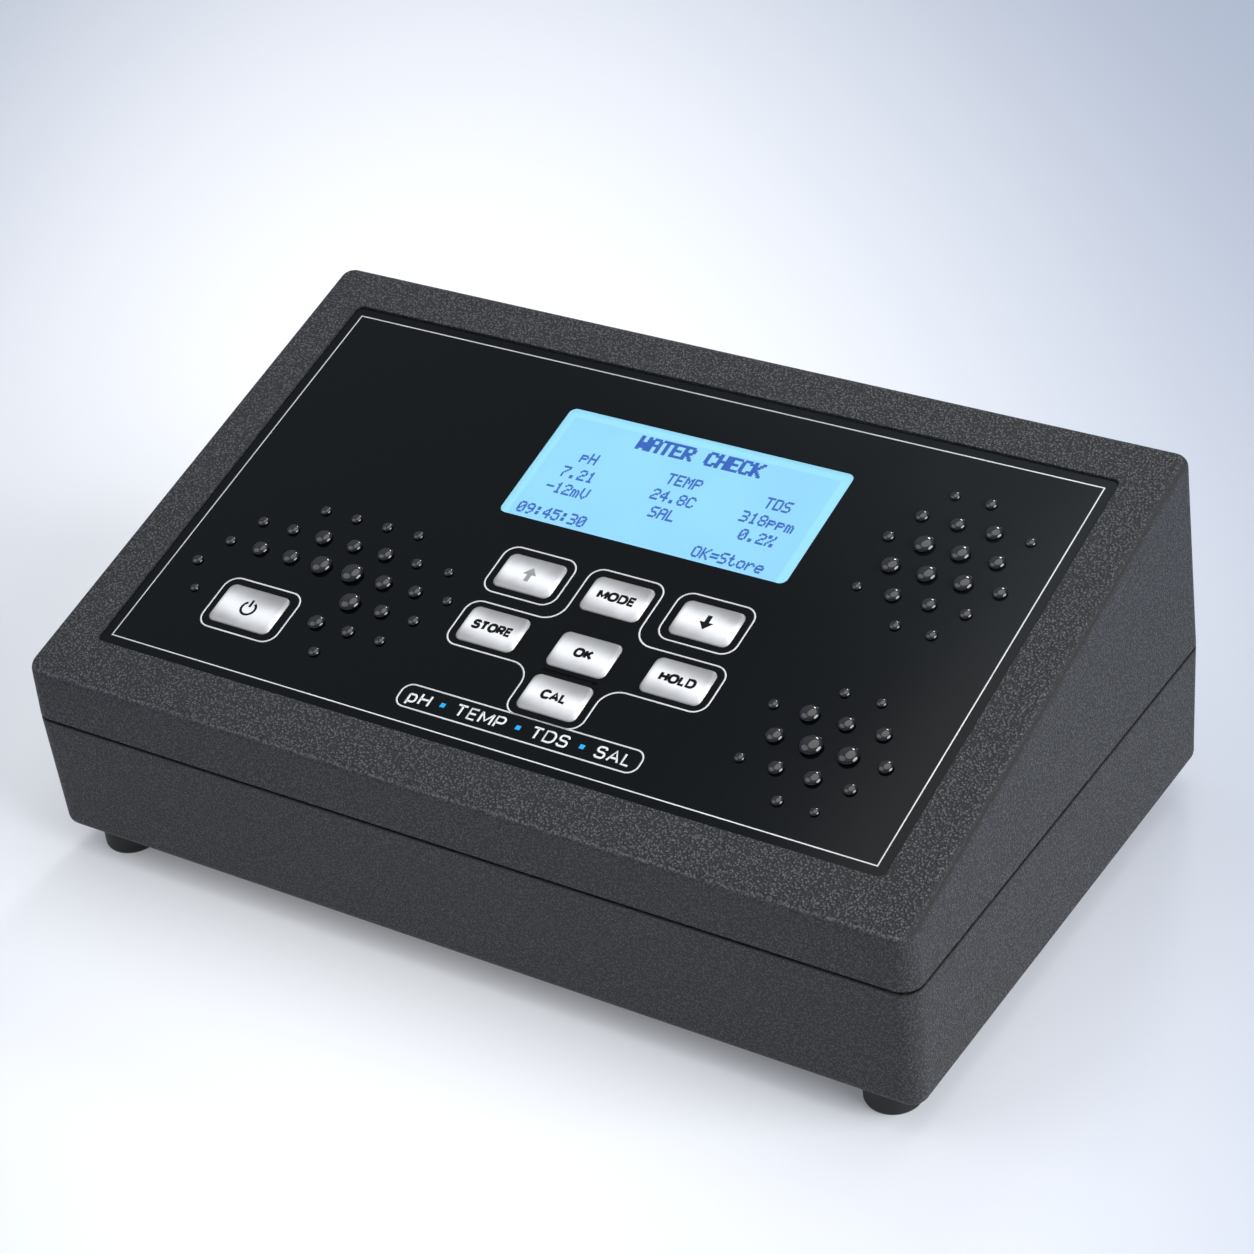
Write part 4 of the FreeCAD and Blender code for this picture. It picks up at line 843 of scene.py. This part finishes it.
def welded(node):
    """A welded copy of a node's mesh, with its flat faces whole again."""
    shape = bmesh.new()
    shape.from_mesh(frame["nodes"][node].data)
    bmesh.ops.remove_doubles(shape, verts=shape.verts, dist=WELD)
    bmesh.ops.dissolve_limit(shape, angle_limit=FLAT_ANGLE, verts=shape.verts, edges=shape.edges)
    return shape


def smoothed(shape, name, material):
    """A mesh with smooth curved faces and crisp edges."""
    mesh = bpy.data.meshes.new(name)
    shape.to_mesh(mesh)
    shape.free()
    mesh.materials.clear()
    mesh.materials.append(material)
    mesh.shade_smooth()
    mesh.set_sharp_from_angle(angle=SHARP_ANGLE)
    return mesh


def laid(shape, name, material, middle=Vector()):
    """A smooth mesh of a shape made about a point of the face, laid there."""
    mesh = smoothed(shape, name, material)
    mesh.transform(FACE @ Matrix.Translation((middle.x, middle.y, 0)))
    return mesh


def dressed(node, name, material, shape=None):
    """A smooth copy of a node, or of its softened shape, whose large faces stay flat beside the fillets."""
    thing = piece(name, smoothed(shape or welded(node), name, material), "root", slots[node], node)
    modifier = thing.modifiers.new("Weighted", "WEIGHTED_NORMAL")
    modifier.keep_sharp = True
    modifier.weight = FLAT_WEIGHT
    return thing


def plain_finish(slot):
    """The patchy finish of a slot, made once."""
    name = f"{slot}_finish"
    if name not in bpy.data.materials:
        patchy(name, *FINISHES[slot])
    return bpy.data.materials[name]


def reclothe(node, material):
    """Give a carried-over node another material."""
    frame["nodes"][node].data.materials.clear()
    frame["nodes"][node].data.materials.append(material)


def is_level(edge, height):
    """Whether an edge lies at a height."""
    return all(abs(vertex.co.z - height) < FLUSH for vertex in edge.verts)


def soften(shape, chosen, width):
    """Round the chosen edges of a shape."""
    edges = [edge for edge in shape.edges if chosen(edge)]
    bmesh.ops.bevel(shape, geom=edges, offset=width, offset_type="OFFSET", segments=2, profile=0.5,
                    affect="EDGES", clamp_overlap=True)


def rounded_ring(width, depth, radius, height, steps=8):
    """Points round a rectangle with rounded corners, anticlockwise."""
    points = []
    for corner, (sign_x, sign_y) in enumerate(((1, -1), (1, 1), (-1, 1), (-1, -1))):
        for step in range(steps + 1):
            angle = math.radians(90 * (corner - 1) + 90 * step / steps)
            points.append(Vector((sign_x * (width / 2 - radius) + radius * math.cos(angle),
                                  sign_y * (depth / 2 - radius) + radius * math.sin(angle), height)))
    return points


def lofted(rings, closed_ends=True):
    """Faces between rings of equally many points, from the lowest ring to the highest."""
    shape = bmesh.new()
    loops = [[shape.verts.new(point) for point in ring] for ring in rings]
    count = len(loops[0])
    for lower, upper in zip(loops, loops[1:]):
        for index in range(count):
            after = (index + 1) % count
            shape.faces.new((lower[index], lower[after], upper[after], upper[index]))
    if closed_ends:
        shape.faces.new(list(reversed(loops[0])))
        shape.faces.new(loops[-1])
    return shape


def prism(points, low, high):
    """A flat closed outline, given anticlockwise, with a thickness."""
    return lofted([[(x, y, height) for x, y in points] for height in (low, high)])


def map_plan(shape, name, width, depth):
    """A map of a shape's plan, from 0 to 1 each way."""
    sheet = shape.loops.layers.uv.new(name)
    for face in shape.faces:
        for loop in face.loops:
            loop[sheet].uv = (loop.vert.co.x / width + 0.5, loop.vert.co.y / depth + 0.5)


def word_strokes(text, width, height, stroke):
    """The strokes of a word about its middle, fitted to a width and a height, as points with corner radii."""
    starts = [0.0]
    for letter in text:
        widest = max(point[0] for line in STROKES[letter] for point in line)
        starts.append(starts[-1] + widest + LETTER_GAP)
    natural = starts[-1] - LETTER_GAP
    across = (width - stroke) / natural
    down = height - stroke
    lines = []
    for start, letter in zip(starts, text):
        for line in STROKES[letter]:
            lines.append([((start + point[0] - natural / 2) * across, (point[1] - 0.5) * down,
                           (point[2] if len(point) > 2 else 0.0) * min(across, down)) for point in line])
    return lines


def printed(tree, lines, middle, base, stroke, thickness, ink):
    """Lines printed on the face, as across, down and corner radius; closed if they end where they start."""
    points, edges, turns = [], [], []
    for line in lines:
        first = len(points)
        closed = line[0][:2] == line[-1][:2]
        kept = line[:-1] if closed else line
        for across, down, turn in kept:
            points.append((middle.x + across, middle.y + down, base + thickness / 2))
            turns.append(turn)
        edges += [(first + index, first + index + 1) for index in range(len(kept) - 1)]
        if closed:
            edges.append((first + len(kept) - 1, first))
    source = point_mesh(points, edges)
    source.attributes.new("corner", "FLOAT", "POINT").data.foreach_set("value", turns)
    return grown(source, tree, {"Line Width": stroke, "Line Height": thickness, "Ink": ink})


def joined(meshes, name):
    """One mesh of several that share a material."""
    shape = bmesh.new()
    for mesh in meshes:
        shape.from_mesh(mesh)
    whole = bpy.data.meshes.new(name)
    shape.to_mesh(whole)
    shape.free()
    whole.materials.append(meshes[0].materials[0])
    for mesh in meshes:
        bpy.data.meshes.remove(mesh)
    return whole


class METER_OT_case(bpy.types.Operator):
    """Finish the two shells of the case and the feet"""

    bl_idname = "bench_meter.case"
    bl_label = "Finish Case"

    def execute(self, context):
        settings = context.scene.bench_meter.case
        walls = frame["nodes"]["lower_shell"].data.vertices
        side_wall = max(vertex.co.x for vertex in walls) - WALL_BAND
        seam = max(vertex.co.z for vertex in walls if abs(vertex.co.x) > side_wall)
        plastic = case_material(settings, seam)
        recess = face_box("overlay")[1]
        face_height = face_box("upper_shell")[1].z

        def in_recess_edge(edge):
            spots = [FACE_BACK @ vertex.co for vertex in edge.verts]
            return all(abs(spot.z - face_height) < FLUSH and abs(spot.x) < recess.x + RECESS_MARGIN
                       and abs(spot.y) < recess.y + RECESS_MARGIN for spot in spots)

        def on_outer_rim(height):
            def test(edge):
                middle = (edge.verts[0].co + edge.verts[1].co) / 2
                outward = Vector((middle.x, middle.y, 0)).normalized()
                outer = any(face.normal.dot(outward) > OUTWARD for face in edge.link_faces)
                return outer and is_level(edge, height)
            return test

        shape = welded("upper_shell")
        soften(shape, in_recess_edge, settings.edge)
        upper_rim = min(vertex.co.z for vertex in shape.verts if abs(vertex.co.x) > cad_high.x - DRAFT_BAND)
        soften(shape, on_outer_rim(upper_rim), settings.edge)
        dressed("upper_shell", "case_top", plastic, shape)
        shape = welded("lower_shell")
        lower_rim = max(vertex.co.z for vertex in shape.verts if abs(vertex.co.x) > cad_high.x - WALL_BAND)
        soften(shape, on_outer_rim(lower_rim), settings.edge)
        dressed("lower_shell", "case_base", plastic, shape)

        rubber = patchy("foot_rubber", settings.rubber, 0.62, patch=1.5, relief=0.02, darker=0.8)
        for corner in ("front_left", "front_right", "rear_left", "rear_right"):
            node = f"foot_{corner}"
            shape = welded(node)
            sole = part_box(node)[0].z
            soften(shape, lambda edge: is_level(edge, sole), SOLE_ROUND * settings.edge)
            dressed(node, f"rubber_{node}", rubber, shape)
        return {"FINISHED"}


class METER_OT_overlay(bpy.types.Operator):
    """Finish the overlay, and print its outlines and the strip of words"""

    bl_idname = "bench_meter.overlay"
    bl_label = "Finish Overlay"

    def execute(self, context):
        settings = context.scene.bench_meter.keypad
        reclothe("overlay", film_material(settings))
        silver = patchy("printed_silver", settings.silver, 0.36, patch=8.0, relief=PRINT_RELIEF, darker=0.86,
                        spread=0.06)
        white = patchy("printed_white", PRINT_WHITE, 0.4, patch=6.0, relief=PRINT_RELIEF, darker=0.94,
                       spread=PRINT_SPREAD)
        accent = patchy("printed_blue", settings.accent, 0.4, patch=4.0, relief=PRINT_RELIEF, darker=0.9,
                        spread=PRINT_SPREAD)
        tree = make_line_tree()
        slot = slots["overlay"]
        thickness = settings.print_height
        for name, corners in OUTLINES.items():
            line = [(*panel(across, down), turn * MM) for across, down, turn in corners]
            width = settings.frame_line if name == "frame" else settings.line
            mesh = printed(tree, [line + line[:1]], Vector(), 0.0, width, thickness, silver)
            piece(f"printed_{name}_line", mesh, "root", slot)

        lines = []
        for text, across, width in PILL_WORDS:
            x, y = panel(across, PILL_MIDDLE)
            word = word_strokes(text, width * MM, PILL_CAP * MM, PILL_STROKE * MM)
            lines += [[(x + along, y + up, turn) for along, up, turn in line] for line in word]
        mesh = printed(tree, lines, Vector(), 0.0, PILL_STROKE * MM, thickness, white)
        piece("strip_words", mesh, "root", slot)
        half = PILL_MARK_SIZE * MM / 2
        square = [(-half, -half), (half, -half), (half, half), (-half, half)]
        marks = [laid(prism(square, 0.0, thickness), "mark", accent, Vector(panel(across, PILL_MIDDLE)))
                 for across in PILL_MARKS]
        piece("strip_marks", joined(marks, "strip_marks"), "root", slot)
        return {"FINISHED"}


class METER_OT_studs(bpy.types.Operator):
    """Emboss the overlay with fields of hexagonal studs"""

    bl_idname = "bench_meter.studs"
    bl_label = "Emboss Studs"

    def execute(self, context):
        settings = context.scene.bench_meter.studs
        gloss = patchy("embossed_black", STUD_BLACK, 0.1, patch=5.0, relief=0.001, darker=0.8, spread=0.06,
                       constants={"Specular IOR Level": 0.6, "Coat Weight": 0.6, "Coat Roughness": 0.05})
        tree = make_stud_tree()
        for name, (across, down, columns, rows, clear, clear_size) in STUD_FIELDS.items():
            inputs = {"Columns": columns, "Rows": rows, "Pitch": settings.pitch, "Radius": settings.radius,
                      "Height": settings.height, "Smallest": settings.smallest, "Seed": settings.seed,
                      "Clear Middle": (clear[0] * MM, clear[1] * MM, 0),
                      "Clear Size": (clear_size[0] * MM, clear_size[1] * MM, 0), "Finish": gloss}
            mesh = grown(point_mesh([(0, 0, 0)]), tree, inputs, Matrix.Translation((*panel(across, down), 0)))
            piece(f"studs_{name}", mesh, "root", slots["overlay"])
        return {"FINISHED"}


def keycap(size, bottom, top, settings):
    """A key with a rounded shoulder and a flat top, about its own middle."""
    shoulder = settings.shoulder
    insets = [shoulder * (1 - math.cos(math.radians(90 * step / KEY_STEPS))) for step in range(KEY_STEPS + 1)]
    rings = [rounded_ring(size.x, size.y, KEY_CORNER_RADIUS, bottom)]
    for inset in [*insets, shoulder + settings.crown]:
        left = max(0.0, 1 - inset / shoulder)
        corner = max(KEY_CORNER_RADIUS - inset * CORNER_SHRINK, LEAST_CORNER)
        height = top * math.sqrt(1 - left ** 2)
        rings.append(rounded_ring(size.x - 2 * inset, size.y - 2 * inset, corner, height))
    shape = lofted(rings)
    map_plan(shape, "key", size.x, size.y)
    return shape


def key_shadow_band(size, reach):
    """A thin band of painted shadow round a key, about the key's middle, with how far out each point lies."""
    rings = []
    for out, height in ((0, 0.0), (0, SURROUND_LIFT), (reach / 2, SURROUND_LIFT), (reach, SURROUND_LIFT),
                        (reach, 0.0)):
        grow = SURROUND_GAP + out
        rings.append(rounded_ring(size.x + 2 * grow, size.y + 2 * grow, KEY_CORNER_RADIUS + grow, height))
    shape = lofted(rings, closed_ends=False)
    fade = shape.verts.layers.float.new("fade")
    for vertex in shape.verts:
        out = max(abs(vertex.co.x) - size.x / 2, abs(vertex.co.y) - size.y / 2) - SURROUND_GAP
        vertex[fade] = min(1.0, max(0.0, out / reach))
    bmesh.ops.recalc_face_normals(shape, faces=shape.faces)
    return shape


def arrow(way):
    """The outline of an arrow along the slope, up for 1 and down for -1, in millimetres."""
    half_head, half_stem, tip, tail = 1.65, 0.55, 1.95, -1.9
    points = [(0, tip), (-half_head, 0), (-half_stem, 0), (-half_stem, tail), (half_stem, tail),
              (half_stem, 0), (half_head, 0)]
    return [(way * x, way * y) for x, y in points]


def power_sign():
    """The outlines of an open ring and of the bar in its gap, in millimetres."""
    radius, half_line, gap, bar_low, bar_high, drop, steps = 1.75, 0.29, 32, 0.4, 2.4, 0.15, 28
    turns = [math.radians(90 + gap + (360 - 2 * gap) * step / steps) for step in range(steps + 1)]
    inner, outer = [[(reach * math.cos(turn), reach * math.sin(turn)) for turn in turns]
                    for reach in (radius - half_line, radius + half_line)]
    bar = [(-half_line, bar_low), (half_line, bar_low), (half_line, bar_high), (-half_line, bar_high)]
    return [[(x, y - drop) for x, y in points] for points in (inner[::-1] + outer, bar)]


class METER_OT_keys(bpy.types.Operator):
    """Make the silver keys, their legends, the painted shadow round them and the domes under them"""

    bl_idname = "bench_meter.keys"
    bl_label = "Make Keys"

    def execute(self, context):
        settings = context.scene.bench_meter.keypad
        silver = key_material()
        black = patchy("legend_black", LEGEND_BLACK, 0.5, patch=3.0, relief=PRINT_RELIEF, darker=0.8,
                       spread=PRINT_SPREAD, constants={"Specular IOR Level": 0.15})
        grey = patchy("legend_grey", LEGEND_GREY, 0.45, patch=3.0, relief=PRINT_RELIEF, darker=0.9,
                      spread=PRINT_SPREAD)
        painted_shadow = key_shadow_material(settings)
        tree = make_line_tree()
        thickness = settings.print_height
        for name in KEY_NAMES:
            body, slot = f"{name}_key", slots[f"key_{name}"]
            low, high = face_box(f"key_{name}", above=KEY_SKIRT)
            size = high - low
            middle = (low + high) / 2
            shape = keycap(size, face_box(f"key_{name}")[0].z, high.z, settings)
            mesh = laid(shape, f"keycap_{name}", silver, middle)
            piece(f"keycap_{name}", mesh, body, slot, f"key_{name}")
            mesh = laid(key_shadow_band(size, settings.shadow_reach), f"surround_{name}", painted_shadow, middle)
            piece(f"surround_{name}", mesh, "root", slots["overlay"])

            if name in KEY_WORDS:
                text, width = KEY_WORDS[name]
                lines = word_strokes(text, width * MM, KEY_CAP * MM, KEY_STROKE * MM)
                mesh = printed(tree, lines, middle, high.z, KEY_STROKE * MM, thickness, black)
            else:
                outlines = {"up": [arrow(1)], "down": [arrow(-1)], "power": power_sign()}[name]
                ink = grey if name == "up" else black
                shapes = [prism([(x * MM, y * MM) for x, y in points], high.z, high.z + thickness)
                          for points in outlines]
                mesh = joined([laid(shape, "sign", ink, middle) for shape in shapes], "sign")
            piece(f"legend_{name}", mesh, body, slot)

            dome = dressed(f"dome_{name}", f"snap_dome_{name}", plain_finish(slots[f"dome_{name}"]))
            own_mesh(dome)
        return {"FINISHED"}


class METER_OT_display(bpy.types.Operator):
    """Light the display, set its dots and glaze its window"""

    bl_idname = "bench_meter.display"
    bl_label = "Light Display"

    def execute(self, context):
        settings = context.scene.bench_meter.display
        slot = slots["display_glass"]
        glass_low, glass_high = face_box("display_glass")
        pane_top = face_box("display_window")[1].z
        pane_low, pane_high = face_box("display_window", above=pane_top - PANE_SKIN)
        width = pane_high.x - pane_low.x + LIT_OVERLAP
        depth = pane_high.y - pane_low.y + LIT_OVERLAP
        top = face_box("display_bezel")[1].z - LIT_SINK
        shape = lofted([rounded_ring(width, depth, LIT_CORNER, height, steps=2)
                        for height in (glass_high.z, top)])
        map_plan(shape, "lit", width, depth)
        middle = (glass_low + glass_high) / 2
        piece("lit_face", laid(shape, "lit_face", lit_material(settings), middle), "root", slot)

        ink = patchy("display_ink", INK_BODY, 0.5, relief=PRINT_RELIEF, darker=0.8, spread=PRINT_SPREAD,
                     constants={"Emission Strength": 0.97, "Emission Color": toned(settings.ink)})
        tree = make_dot_tree()
        for name, lines, share, bold in (("readout_dots", READOUT, 1.0, False),
                                         ("heading_dots", (HEADING,), settings.heading, True)):
            across = settings.dot_across * share
            down = settings.dot_down * share
            points = []
            for text, where_x, where_y in lines:
                points += self.dots(text, *panel(where_x, where_y), across, down, top + DOT_HEIGHT / 2, bold)
            size = (across * settings.fill * (BOLD_DOT if bold else 1.0), down * settings.fill, DOT_HEIGHT)
            piece(name, grown(point_mesh(points), tree, {"Dot Size": size, "Ink": ink}), "root", slot)

        clear = patchy("window_clear", PANE_TINT, 0.03, patch=20.0, relief=0.0005, darker=0.99, spread=0.02,
                       constants={"Transmission Weight": 1.0, "IOR": 1.49})
        dressed("display_window", "window_pane", clear)
        return {"FINISHED"}

    def dots(self, text, x, y, across, down, height, bold):
        """The points of a line of text about its middle, doubled where it is bold."""
        points = []
        advance = (GLYPH_COLUMNS + 1) * across
        start = x - (len(text) * advance - across) / 2 + across / 2
        first_row = y + (GLYPH_ROWS - 1) / 2 * down
        for place, letter in enumerate(text):
            for row, bits in enumerate(GLYPHS.get(letter, "").split()):
                for column, bit in enumerate(bits):
                    if bit == "1":
                        spot = start + place * advance + column * across
                        points.append((spot, first_row - row * down, height))
                        if bold:
                            points.append((spot + across / 2, first_row - row * down, height))
        return points


class METER_OT_sockets(bpy.types.Operator):
    """Finish the sockets in the rear wall and the screws"""

    bl_idname = "bench_meter.sockets"
    bl_label = "Finish Sockets"

    def execute(self, context):
        for node in ("bnc_body", "bnc_insulator", "bnc_contact", "probe_socket_body", "probe_socket_insert",
                     "probe_socket_pins", "temperature_jack", "temperature_jack_nut", "power_inlet",
                     "power_inlet_pin", "case_screws"):
            dressed(node, f"{node}_finish", plain_finish(slots[node]))
        return {"FINISHED"}


class METER_OT_inside(bpy.types.Operator):
    """Give every other piece the finish of its material"""

    bl_idname = "bench_meter.inside"
    bl_label = "Finish Inside"

    def execute(self, context):
        for node, thing in frame["nodes"].items():
            if not thing.hide_render and node != "overlay":
                reclothe(node, plain_finish(slots[node]))
        return {"FINISHED"}


class METER_OT_studio(bpy.types.Operator):
    """Set the floor, the lamps and the camera"""

    bl_idname = "bench_meter.studio"
    bl_label = "Set Studio"

    # Lamps: turn to the right of the front, height, distance, size across and share of the light
    LAMPS = {
        "overhead": (165, 80, 1.3, 1.25, 0.3),
        "front_left": (-56, 44, 1.5, 1.3, 0.18),
        "right_side": (88, 24, 1.4, 1.2, 1.2),
        "sparkle": (-168, 40, 1.4, 0.28, 0.14),
    }
    WORLD = 0.42
    WORLD_COLOUR = (0.93, 0.96, 1.0, 1)
    SENSOR_WIDTH = 36
    NEAR = 0.01

    # The floor bends up into a round wall, in metres, with this many steps in the bend and round it
    LEVEL_FLOOR = (0.0, 0.5, 1.6)
    BEND = 0.7
    WALL_TOP = 1.7
    BEND_STEPS = 10
    ROUND_STEPS = 64
    SWEEP_WELD = 0.1 * MM

    def execute(self, context):
        settings = context.scene.bench_meter.studio
        aim = Vector(settings.aim)
        for name, (azimuth, elevation, distance, size, share) in self.LAMPS.items():
            lamp = bpy.data.lights.new(name, "AREA")
            lamp.shape = "DISK"
            lamp.size = size
            lamp.energy = settings.level * share * math.pi ** 2 * distance ** 2
            holder = put(name, lamp)
            holder.matrix_world = looking(aim, math.radians(azimuth), math.radians(elevation), 0.0, distance)
        world = bpy.data.worlds.new("studio")
        world.use_nodes = True
        background = world.node_tree.nodes["Background"]
        background.inputs["Color"].default_value = self.WORLD_COLOUR
        background.inputs["Strength"].default_value = self.WORLD * settings.level
        context.scene.world = world
        put("sweep", self.sweep(floor_material(settings)))

        camera = bpy.data.cameras.new("view")
        camera.lens = settings.lens
        camera.sensor_width = self.SENSOR_WIDTH
        camera.clip_start = self.NEAR
        holder = put("view", camera)
        turned = (settings.azimuth, settings.elevation, settings.roll)
        holder.matrix_world = looking(aim, *turned, settings.distance)
        context.scene.camera = holder
        context.scene.view_settings.view_transform = "Standard"
        return {"FINISHED"}

    def sweep(self, material):
        """The floor and the wall round it, in one piece."""
        edge = self.LEVEL_FLOOR[-1]
        profile = [(reach, 0.0) for reach in self.LEVEL_FLOOR]
        for step in range(1, self.BEND_STEPS + 1):
            turn = math.radians(90 * step / self.BEND_STEPS)
            profile.append((edge + self.BEND * math.sin(turn), self.BEND * (1 - math.cos(turn))))
        profile.append((edge + self.BEND, self.WALL_TOP))
        shape = bmesh.new()
        verts = [shape.verts.new((reach, 0, height)) for reach, height in profile]
        edges = [shape.edges.new(pair) for pair in zip(verts, verts[1:])]
        bmesh.ops.spin(shape, geom=verts + edges, axis=(0, 0, 1), cent=(0, 0, 0), angle=2 * math.pi,
                       steps=self.ROUND_STEPS)
        bmesh.ops.remove_doubles(shape, verts=shape.verts, dist=self.SWEEP_WELD)
        bmesh.ops.recalc_face_normals(shape, faces=shape.faces)
        mesh = bpy.data.meshes.new("sweep")
        shape.to_mesh(mesh)
        shape.free()
        mesh.shade_smooth()
        mesh.materials.append(material)
        return mesh


def looking(aim, azimuth, elevation, roll, distance):
    """Where a camera or lamp stands and how it is turned, to look at its aim."""
    right = Vector((math.cos(azimuth), math.sin(azimuth), 0))
    back = Vector((math.sin(azimuth) * math.cos(elevation), -math.cos(azimuth) * math.cos(elevation),
                   math.sin(elevation)))
    up = back.cross(right)
    x = right * math.cos(roll) + up * math.sin(roll)
    y = up * math.cos(roll) - right * math.sin(roll)
    turn = Matrix((x, y, back)).transposed().to_4x4()
    return Matrix.Translation(aim + back * distance) @ turn


class METER_PT_panel(bpy.types.Panel):
    """The bench meter's steps in the sidebar"""

    bl_idname = "METER_PT_panel"
    bl_label = "Bench Meter"
    bl_space_type = "VIEW_3D"
    bl_region_type = "UI"
    bl_category = "Bench Meter"

    def draw(self, context):
        column = self.layout.column()
        for step in STEPS:
            column.operator(step.bl_idname)
        for word in ("case", "keypad", "display", "studs", "studio"):
            group = getattr(context.scene.bench_meter, word)
            section = self.layout.box()
            section.label(text=word.capitalize())
            for name in group.bl_rna.properties.keys():
                if name not in ("rna_type", "name"):
                    section.prop(group, name)


STEPS = (METER_OT_case, METER_OT_overlay, METER_OT_studs, METER_OT_keys, METER_OT_display, METER_OT_sockets,
         METER_OT_inside, METER_OT_studio)
CLASSES = (CaseSettings, KeypadSettings, DisplaySettings, StudSettings, StudioSettings, MeterSettings, *STEPS,
           METER_PT_panel)


def register():
    for item in CLASSES:
        bpy.utils.register_class(item)
    bpy.types.Scene.bench_meter = PointerProperty(type=MeterSettings)


def unregister():
    del bpy.types.Scene.bench_meter
    for item in reversed(CLASSES):
        bpy.utils.unregister_class(item)


def main():
    register()
    GROUPS["grain"] = make_grain_group()
    GROUPS["patches"] = make_patch_group()
    bpy.ops.bench_meter.case()
    bpy.ops.bench_meter.overlay()
    bpy.ops.bench_meter.studs()
    bpy.ops.bench_meter.keys()
    bpy.ops.bench_meter.display()
    bpy.ops.bench_meter.sockets()
    bpy.ops.bench_meter.inside()
    bpy.ops.bench_meter.studio()


if __name__ == "__main__":
    main()
